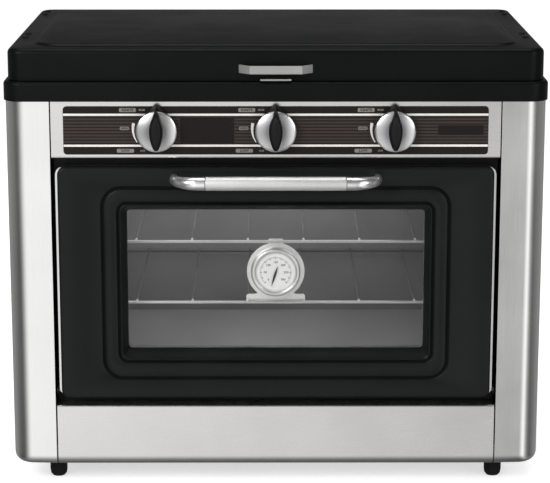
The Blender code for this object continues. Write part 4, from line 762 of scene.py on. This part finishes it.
windowHalfZ = (door["windowTop"] - door["windowBottom"]) / 2
for share in np.linspace(-1, 1, door["channelSteps"]):
    # A second, finer channel runs round the window
    out = door["channelOut"] - share * door["channelWidth"]
    rows.append((door["windowHalf"] + out, windowHalfZ + out, door["windowCorner"] + out,
                 front - door["channelDepth"] * (1 + math.cos(math.pi * share)) / 2, windowZ))
sightZ = (door["sightTop"] + door["sightBottom"]) / 2
sightHalfZ = (door["sightTop"] - door["sightBottom"]) / 2
for share in door["slopeShares"]:
    drop = door["windowDepth"] * share ** door["slopePower"]
    rows.append((door["windowHalf"] + (door["sightHalf"] - door["windowHalf"]) * share,
                 windowHalfZ + (sightHalfZ - windowHalfZ) * share,
                 door["windowCorner"] + (door["sightCorner"] - door["windowCorner"]) * share, front - drop,
                 windowZ + (sightZ - windowZ) * share))
pressing = shell("door_pressing", rows, cap=False, front=True, angle=40)
dress(pressing, "baked_black_enamel", "door", "painted_black_steel", "door_panel")
dress(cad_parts["door_glass"], "toughened_oven_glass")

handle = {"footHalf": 100.5 * mm, "bendShare": 0.72, "bendSteps": 22, "edge": 1.2 * mm, "rootShare": 0.97,
          "taperShare": 0.42, "taperPower": 1.6}
low, high, middle = boxOf("door_handle_grip")
gripRadius = (high[2] - low[2]) / 2
edge = handle["edge"]
profile = [(gripRadius - edge + edge * math.sin(turn), high[0] - edge + edge * math.cos(turn))
           for turn in np.radians(np.linspace(0, 90, 6))]
otherEnd = [(radius, -length) for radius, length in reversed(profile)]
profile = [(0, high[0]), *profile, *otherEnd, (0, low[0])]
grip = lathe("satin_grip_tube", profile)
reshape(grip.data, lambda points: points[:, (2, 0, 1)] + (0, middle[1], middle[2]))
dress(grip, "satin_ground_tube", "door", "brushed_steel", "door_handle_grip")

_, footHigh, _ = boxOf("door_handle_end_left")
gripY, gripZ = middle[1], middle[2]
sweep = filletLine([(footHigh[0], gripY, gripZ), (-handle["footHalf"], gripY, gripZ),
                    (-handle["footHalf"], footHigh[1], gripZ)],
                   [(footHigh[1] - gripY) * handle["bendShare"]], handle["bendSteps"])
taper = handle["rootShare"] - handle["taperShare"] * np.linspace(0, 1, len(sweep)) ** handle["taperPower"]
leftEnd = tube("chromed_handle_end_left", sweep, gripRadius, radii=taper, sides=10)
dress(leftEnd, "polished_chrome", "door", "chromed_wire", "door_handle_end_left")
dress(twin(leftEnd, "chromed_handle_end_right"), "polished_chrome", "door", "chromed_wire",
      "door_handle_end_right")
print("door made")


# Racks and the gauge

rack = {"wire": 1.5 * mm, "bar": 1.2 * mm, "pitch": 56.4 * mm, "bars": 6, "corner": 9.4 * mm,
        "cornerSteps": 8, "tip": 3.2 * mm, "endGap": 0.2 * mm, "weldShare": 0.6, "barShare": 0.8}
for node, name in (("oven_rack_upper", "upper_wire_rack"), ("oven_rack_lower", "lower_wire_rack")):
    low, high, middle = boxOf(node)
    level = low[2] + rack["wire"]
    halfX, halfY = (high - low)[:2] / 2 - rack["wire"]
    line = ring(halfX, halfY, rack["corner"], rack["cornerSteps"])
    line = np.column_stack((line[:, 0], line[:, 1] + middle[1], np.full(len(line), level)))
    # The frame is bright wire up to its rear corners; along the back it is the same wire with painted shade,
    # like the bars
    isFront = line[:, 1] < middle[1] + halfY - rack["corner"] / 2
    line = np.roll(line, -np.flatnonzero(isFront & ~np.roll(isFront, 1))[0], axis=0)
    count = isFront.sum()
    wires = [tube(name + "_frame", line[:count], rack["wire"])]
    bars = [tube(name + "_rear", np.vstack((line[count - 1:], line[:1])), rack["wire"])]
    for index in range(rack["bars"]):
        x = (index - (rack["bars"] - 1) / 2) * rack["pitch"]
        lift = level + rack["wire"] + rack["bar"] * rack["weldShare"]
        front, back = low[1] + rack["endGap"], high[1] - rack["endGap"]
        wires.append(tube(name + "_tip", [(x, front, lift), (x, front + rack["tip"], lift)], rack["bar"]))
        bars.append(tube(name + "_bar", [(x, front + rack["tip"], lift), (x, back, lift)],
                         rack["bar"] * rack["barShare"]))
    dress(joined(name, wires), "chromed_wire", "stove", "chromed_wire", node)
    # The rear wire and the bars: chromed wire with painted shade
    dress(joined(name + "_bars", bars), "painted_shade_rack_wire", "stove", "chromed_wire")

# Gauge: a stand cut from sheet, a spun bezel and the needle
gauge = {"z": 217 * mm, "disc": 29.3 * mm, "discFrom": -52, "discTo": 74, "sheet": 0.8 * mm, "rim": 0.3 * mm,
         "footHalf": 30 * mm, "footTop": 193 * mm, "neckHalf": 21.5 * mm, "footBends": [1.2 * mm, 2.6 * mm],
         "tabHalf": 7.4 * mm, "tabSlope": 0.6 * mm, "tabDrop": 1 * mm, "tilt": 17}
# Bezel: its foot, a rolled lip and its inner edge, as radius and height
bezelFoot = (25.2 * mm, 0.6 * mm)
lip = {"radius": 22.4 * mm, "height": 5.6 * mm, "wide": 2.8 * mm, "tall": 3 * mm, "steps": 8}
bezelInner = ((20.9 * mm, 7.9 * mm), (20.3 * mm, 7.1 * mm), (18.9 * mm, 6.9 * mm))
# Needle: half its width, and the height over its pivot
needleSide = np.array(((1.15 * mm, -4 * mm), (0.9 * mm, 1 * mm)))
low, high, _ = boxOf("thermometer_case")
turn = np.radians(np.linspace(gauge["discFrom"], gauge["discTo"], 40))
disc = np.column_stack((gauge["disc"] * np.cos(turn), gauge["z"] + gauge["disc"] * np.sin(turn)))
footEdge = filletLine([(0, low[2]), (gauge["footHalf"], low[2]), (gauge["footHalf"], gauge["footTop"]),
                       (gauge["neckHalf"], gauge["footTop"])], gauge["footBends"])
right = np.vstack((footEdge, disc, [(gauge["tabHalf"], high[2] - gauge["tabDrop"]),
                                    (gauge["tabHalf"] - gauge["tabSlope"], high[2])]))
outline = np.vstack((right, (right * (-1, 1))[1:][::-1]))
backPlane = np.full(len(outline), high[1] - gauge["sheet"])
stand = meshObject("gauge_stand_sheet", np.column_stack((outline[:, 0], backPlane, outline[:, 1])),
                   [list(range(len(outline)))])
thicken(stand, gauge["sheet"], gauge["rim"])
bend = np.radians(np.linspace(0, 90, lip["steps"]))
roll = [(lip["radius"] + lip["wide"] * math.cos(t), lip["height"] + lip["tall"] * math.sin(t)) for t in bend]
bezel = stoodUp(lathe("gauge_bezel", [bezelFoot, *roll, *bezelInner], 72, 50), 0, high[1], gauge["z"])
dress(joined("gauge_stand", [stand, bezel]), "bright_nickel_plate", "stove", "chromed_wire",
      "thermometer_case")
low, high, _ = boxOf("thermometer_needle")
tilt = math.radians(gauge["tilt"])
leaf = np.vstack(((0, low[2] - gauge["z"]), needleSide, (0, high[2] - gauge["z"]),
                  (needleSide * (-1, 1))[::-1]))
leaf = leaf @ np.array(((math.cos(tilt), -math.sin(tilt)), (math.sin(tilt), math.cos(tilt))))
points = np.column_stack((leaf[:, 0], np.full(len(leaf), low[1]), leaf[:, 1] + gauge["z"]))
pointer = meshObject("gauge_pointer", points, [list(range(len(leaf)))[::-1]])
dress(thicken(pointer, high[1] - low[1]), "dark_needle_lacquer", "gauge_needle", "black_plastic",
      "thermometer_needle")

# Scale over three quarters of the circle, with longer strokes at every fifth place
dial = {"proud": 0.04 * mm, "marks": 60, "from": 225, "sweep": 270, "outer": 16.2 * mm, "inner": 14.6 * mm,
        "longInner": 13.6 * mm, "half": 0.16 * mm, "longHalf": 0.28 * mm, "long": 5, "numbers": 6,
        "numberStep": 50, "numberRadius": 10.6 * mm, "numberHeight": 2.2 * mm}
low, _, middle = boxOf("thermometer_dial")
dialFront = low[1] - dial["proud"]
dialZ = middle[2]
ticks = []
for index in range(dial["marks"] + 1):
    turn = math.radians(dial["from"] - dial["sweep"] * index / dial["marks"])
    isShort = index % dial["long"]
    inner, wide = (dial["inner"], dial["half"]) if isShort else (dial["longInner"], dial["longHalf"])
    outward, aside = np.array((math.cos(turn), math.sin(turn))), np.array((-math.sin(turn), math.cos(turn)))
    ticks.append([tuple(outward * radius + aside * sign * wide + (0, dialZ))
                  for radius, sign in ((inner, -1), (inner, 1), (dial["outer"], 1), (dial["outer"], -1))])
inkPatch("dial_strokes", ticks, "dark_needle_lacquer", dialFront)
for index in range(dial["numbers"] + 1):
    turn = math.radians(dial["from"] - dial["sweep"] * index / dial["numbers"])
    word("dial_number_" + str(index), str(dial["numberStep"] * index), dial["numberRadius"] * math.cos(turn),
         dialZ + dial["numberRadius"] * math.sin(turn), dial["numberHeight"], dialFront,
         "dark_needle_lacquer", "dial_card")
print("oven made")


# Finishes of the nodes that stay as they are

finishes = {
    "satin_powder_coat": ["wind_guard_left", "wind_guard_right", "handle_plate_left", "handle_plate_right"],
    "baked_black_enamel": ["oven_front_frame"],
    "brushed_stainless_across": ["control_fascia", "back_panel", "tray_hinge", "lid_hinge"],
    "bright_rolled_steel": ["door_liner"],
    "grey_oven_enamel": ["oven_liner", "heat_plate"],
    "chromed_wire": ["pan_grate", "carry_handle_left", "carry_handle_right", "valve_stem_left",
                     "valve_stem_middle", "valve_stem_right"],
    "turned_brass": ["gas_valve_left", "gas_valve_middle", "gas_valve_right", "valve_plug_left",
                     "valve_plug_middle", "valve_plug_right"],
    "sand_cast_aluminium": ["hob_burner_left", "hob_burner_right", "manifold_pipe", "oven_gas_pipe",
                            "oven_burner"],
    "burner_enamel": ["burner_cap_left", "burner_cap_right"],
    "white_dial_lacquer": ["thermometer_dial"],
    "moulded_rubber": ["foot_front_left", "foot_front_right", "foot_rear_left", "foot_rear_right"],
}
for look, names in finishes.items():
    for name in names:
        dress(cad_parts[name], look)
print("finishes set")


# Floor, backdrop light and camera

white = (1, 1, 1, 1)
floor = {"half": 9, "grey": 0.8, "roughness": 0.9, "level": 0.1, "glow": 0.55}
corners = [(x * floor["half"], y * floor["half"], 0) for x, y in ((-1, -1), (1, -1), (1, 1), (-1, 1))]
floorMesh = meshObject("floor", corners, [(0, 1, 2, 3)])
material, tree, shader = blank("pale_matt_floor")
feed(tree, shader, {"Base Color": (*[floor["grey"]] * 3, 1), "Roughness": floor["roughness"],
                    "Specular IOR Level": floor["level"]})
rays = add(tree, "ShaderNodeLightPath")
glow = add(tree, "ShaderNodeEmission", {"Color": white, "Strength": floor["glow"]})
clear = add(tree, "ShaderNodeBsdfTransparent")
lit = add(tree, "ShaderNodeAddShader", {0: shader.outputs[0], 1: glow.outputs[0]})
isGlossy = rays.outputs["Is Glossy Ray"]
seen = add(tree, "ShaderNodeMixShader", {0: isGlossy, 1: lit.outputs[0], 2: clear.outputs[0]})
feed(tree, tree.nodes["Material Output"], {"Surface": seen.outputs[0]})
floorMesh.data.materials.append(material)

world = bpy.data.worlds.new("studio")
scene.world = world
world.use_nodes = True
tree = world.node_tree
tree.nodes.clear()
rays = add(tree, "ShaderNodeLightPath")
toward = add(tree, "ShaderNodeSeparateXYZ", {0: add(tree, "ShaderNodeTexCoord").outputs["Generated"]})
# The reflected studio is brighter in front of the stove than behind it
frontness = between(tree, toward.outputs["Y"], 1.8, 0.85, -0.7, 0.3)
# Brightness of the reflected studio from left to right: place and strength
sweepShares = ((0.0, 0.22), (0.05, 0.08), (0.12, 0.05), (0.2, 0.24), (0.29, 0.6), (0.35, 0.78), (0.42, 0.71),
               (0.5, 0.52), (0.57, 0.33), (0.64, 0.19), (0.69, 0.58), (0.76, 0.98), (0.85, 0.24),
               (0.94, 0.06), (1.0, 0.22))
# Even light behind the stove, and all round for what isn't glossy
backShare, evenLight = 0.36, 0.55
across = add(tree, "ShaderNodeValToRGB", {0: between(tree, toward.outputs["X"], 0, 1, -1, 1)})
for index, (place, strength) in enumerate(sweepShares):
    mark = across.color_ramp.elements[index] if index < 2 else across.color_ramp.elements.new(place)
    mark.position = place
    mark.color = (strength, strength, strength, 1)
# It is dark overhead and at the ground, and even behind
overhead = between(tree, toward.outputs["Z"], 1, 0.14, -0.1, 0.5)
below = between(tree, toward.outputs["Z"], 0.3, 1, -0.95, -0.4)
behind = between(tree, toward.outputs["Y"], 0, 1, -0.05, 0.4)
swept = add(tree, "ShaderNodeMath", {0: across.outputs[0], 1: backShare}, operation="SUBTRACT").outputs[0]
unswept = add(tree, "ShaderNodeMath", {0: 1.0, 1: behind}, operation="SUBTRACT").outputs[0]
evened = add(tree, "ShaderNodeMath", {0: swept, 1: unswept, 2: backShare},
             operation="MULTIPLY_ADD").outputs[0]
sides = add(tree, "ShaderNodeMath", {0: frontness, 1: evened}, operation="MULTIPLY").outputs[0]
levels = add(tree, "ShaderNodeMath", {0: overhead, 1: below}, operation="MULTIPLY").outputs[0]
gloss = add(tree, "ShaderNodeMath", {0: sides, 1: levels}, operation="MULTIPLY").outputs[0]
plain = add(tree, "ShaderNodeBackground", {"Color": white, "Strength": evenLight})
mirrored = add(tree, "ShaderNodeBackground", {"Color": white, "Strength": gloss})
backdrop = add(tree, "ShaderNodeBackground", {"Color": white, "Strength": 1.0})
isGlossy, isSeen = rays.outputs["Is Glossy Ray"], rays.outputs["Is Camera Ray"]
glossMix = add(tree, "ShaderNodeMixShader", {0: isGlossy, 1: plain.outputs[0], 2: mirrored.outputs[0]})
viewMix = add(tree, "ShaderNodeMixShader", {0: isSeen, 1: glossMix.outputs[0], 2: backdrop.outputs[0]})
add(tree, "ShaderNodeOutputWorld", {"Surface": viewMix.outputs[0]})


def softbox(name, place, aim, sizeX, sizeY, power):
    # A rectangular lamp that faces the point aim
    lamp = bpy.data.lights.new(name, "AREA")
    lamp.shape = "RECTANGLE"
    lamp.size = sizeX
    lamp.size_y = sizeY
    lamp.energy = power
    made = placed(name, lamp)
    made.location = place
    made.rotation_euler = (Vector(aim) - Vector(place)).to_track_quat("-Z", "Y").to_euler()


softbox("key", (-1.6, -2.2, 1.7), (0, 0, 0.2), 1.2, 1.2, 45)
softbox("fill", (1.9, -1.9, 1.1), (0, 0, 0.2), 0.6, 1.4, 14)
softbox("top", (0, 0.2, 2.4), (0, 0, 0.3), 1.6, 1.2, 22)
softbox("oven_glow", (-0.03, 0, 0.317), (-0.03, 0, 0.1), 0.32, 0.17, 0.4)

view = {"sensor": 36, "lens": 139.5, "place": (-5.96 * mm, -2231.35 * mm, 727.0 * mm), "pitch": 77.183,
        "yaw": -0.0025}
camera = placed("camera", bpy.data.cameras.new("camera"))
camera.data.sensor_fit = "HORIZONTAL"
camera.data.sensor_width = view["sensor"]
camera.data.lens = view["lens"]
camera.location = view["place"]
camera.rotation_euler = (math.radians(view["pitch"]), 0, view["yaw"])
scene.camera = camera
scene.view_settings.view_transform = "Standard"
print("stage set")
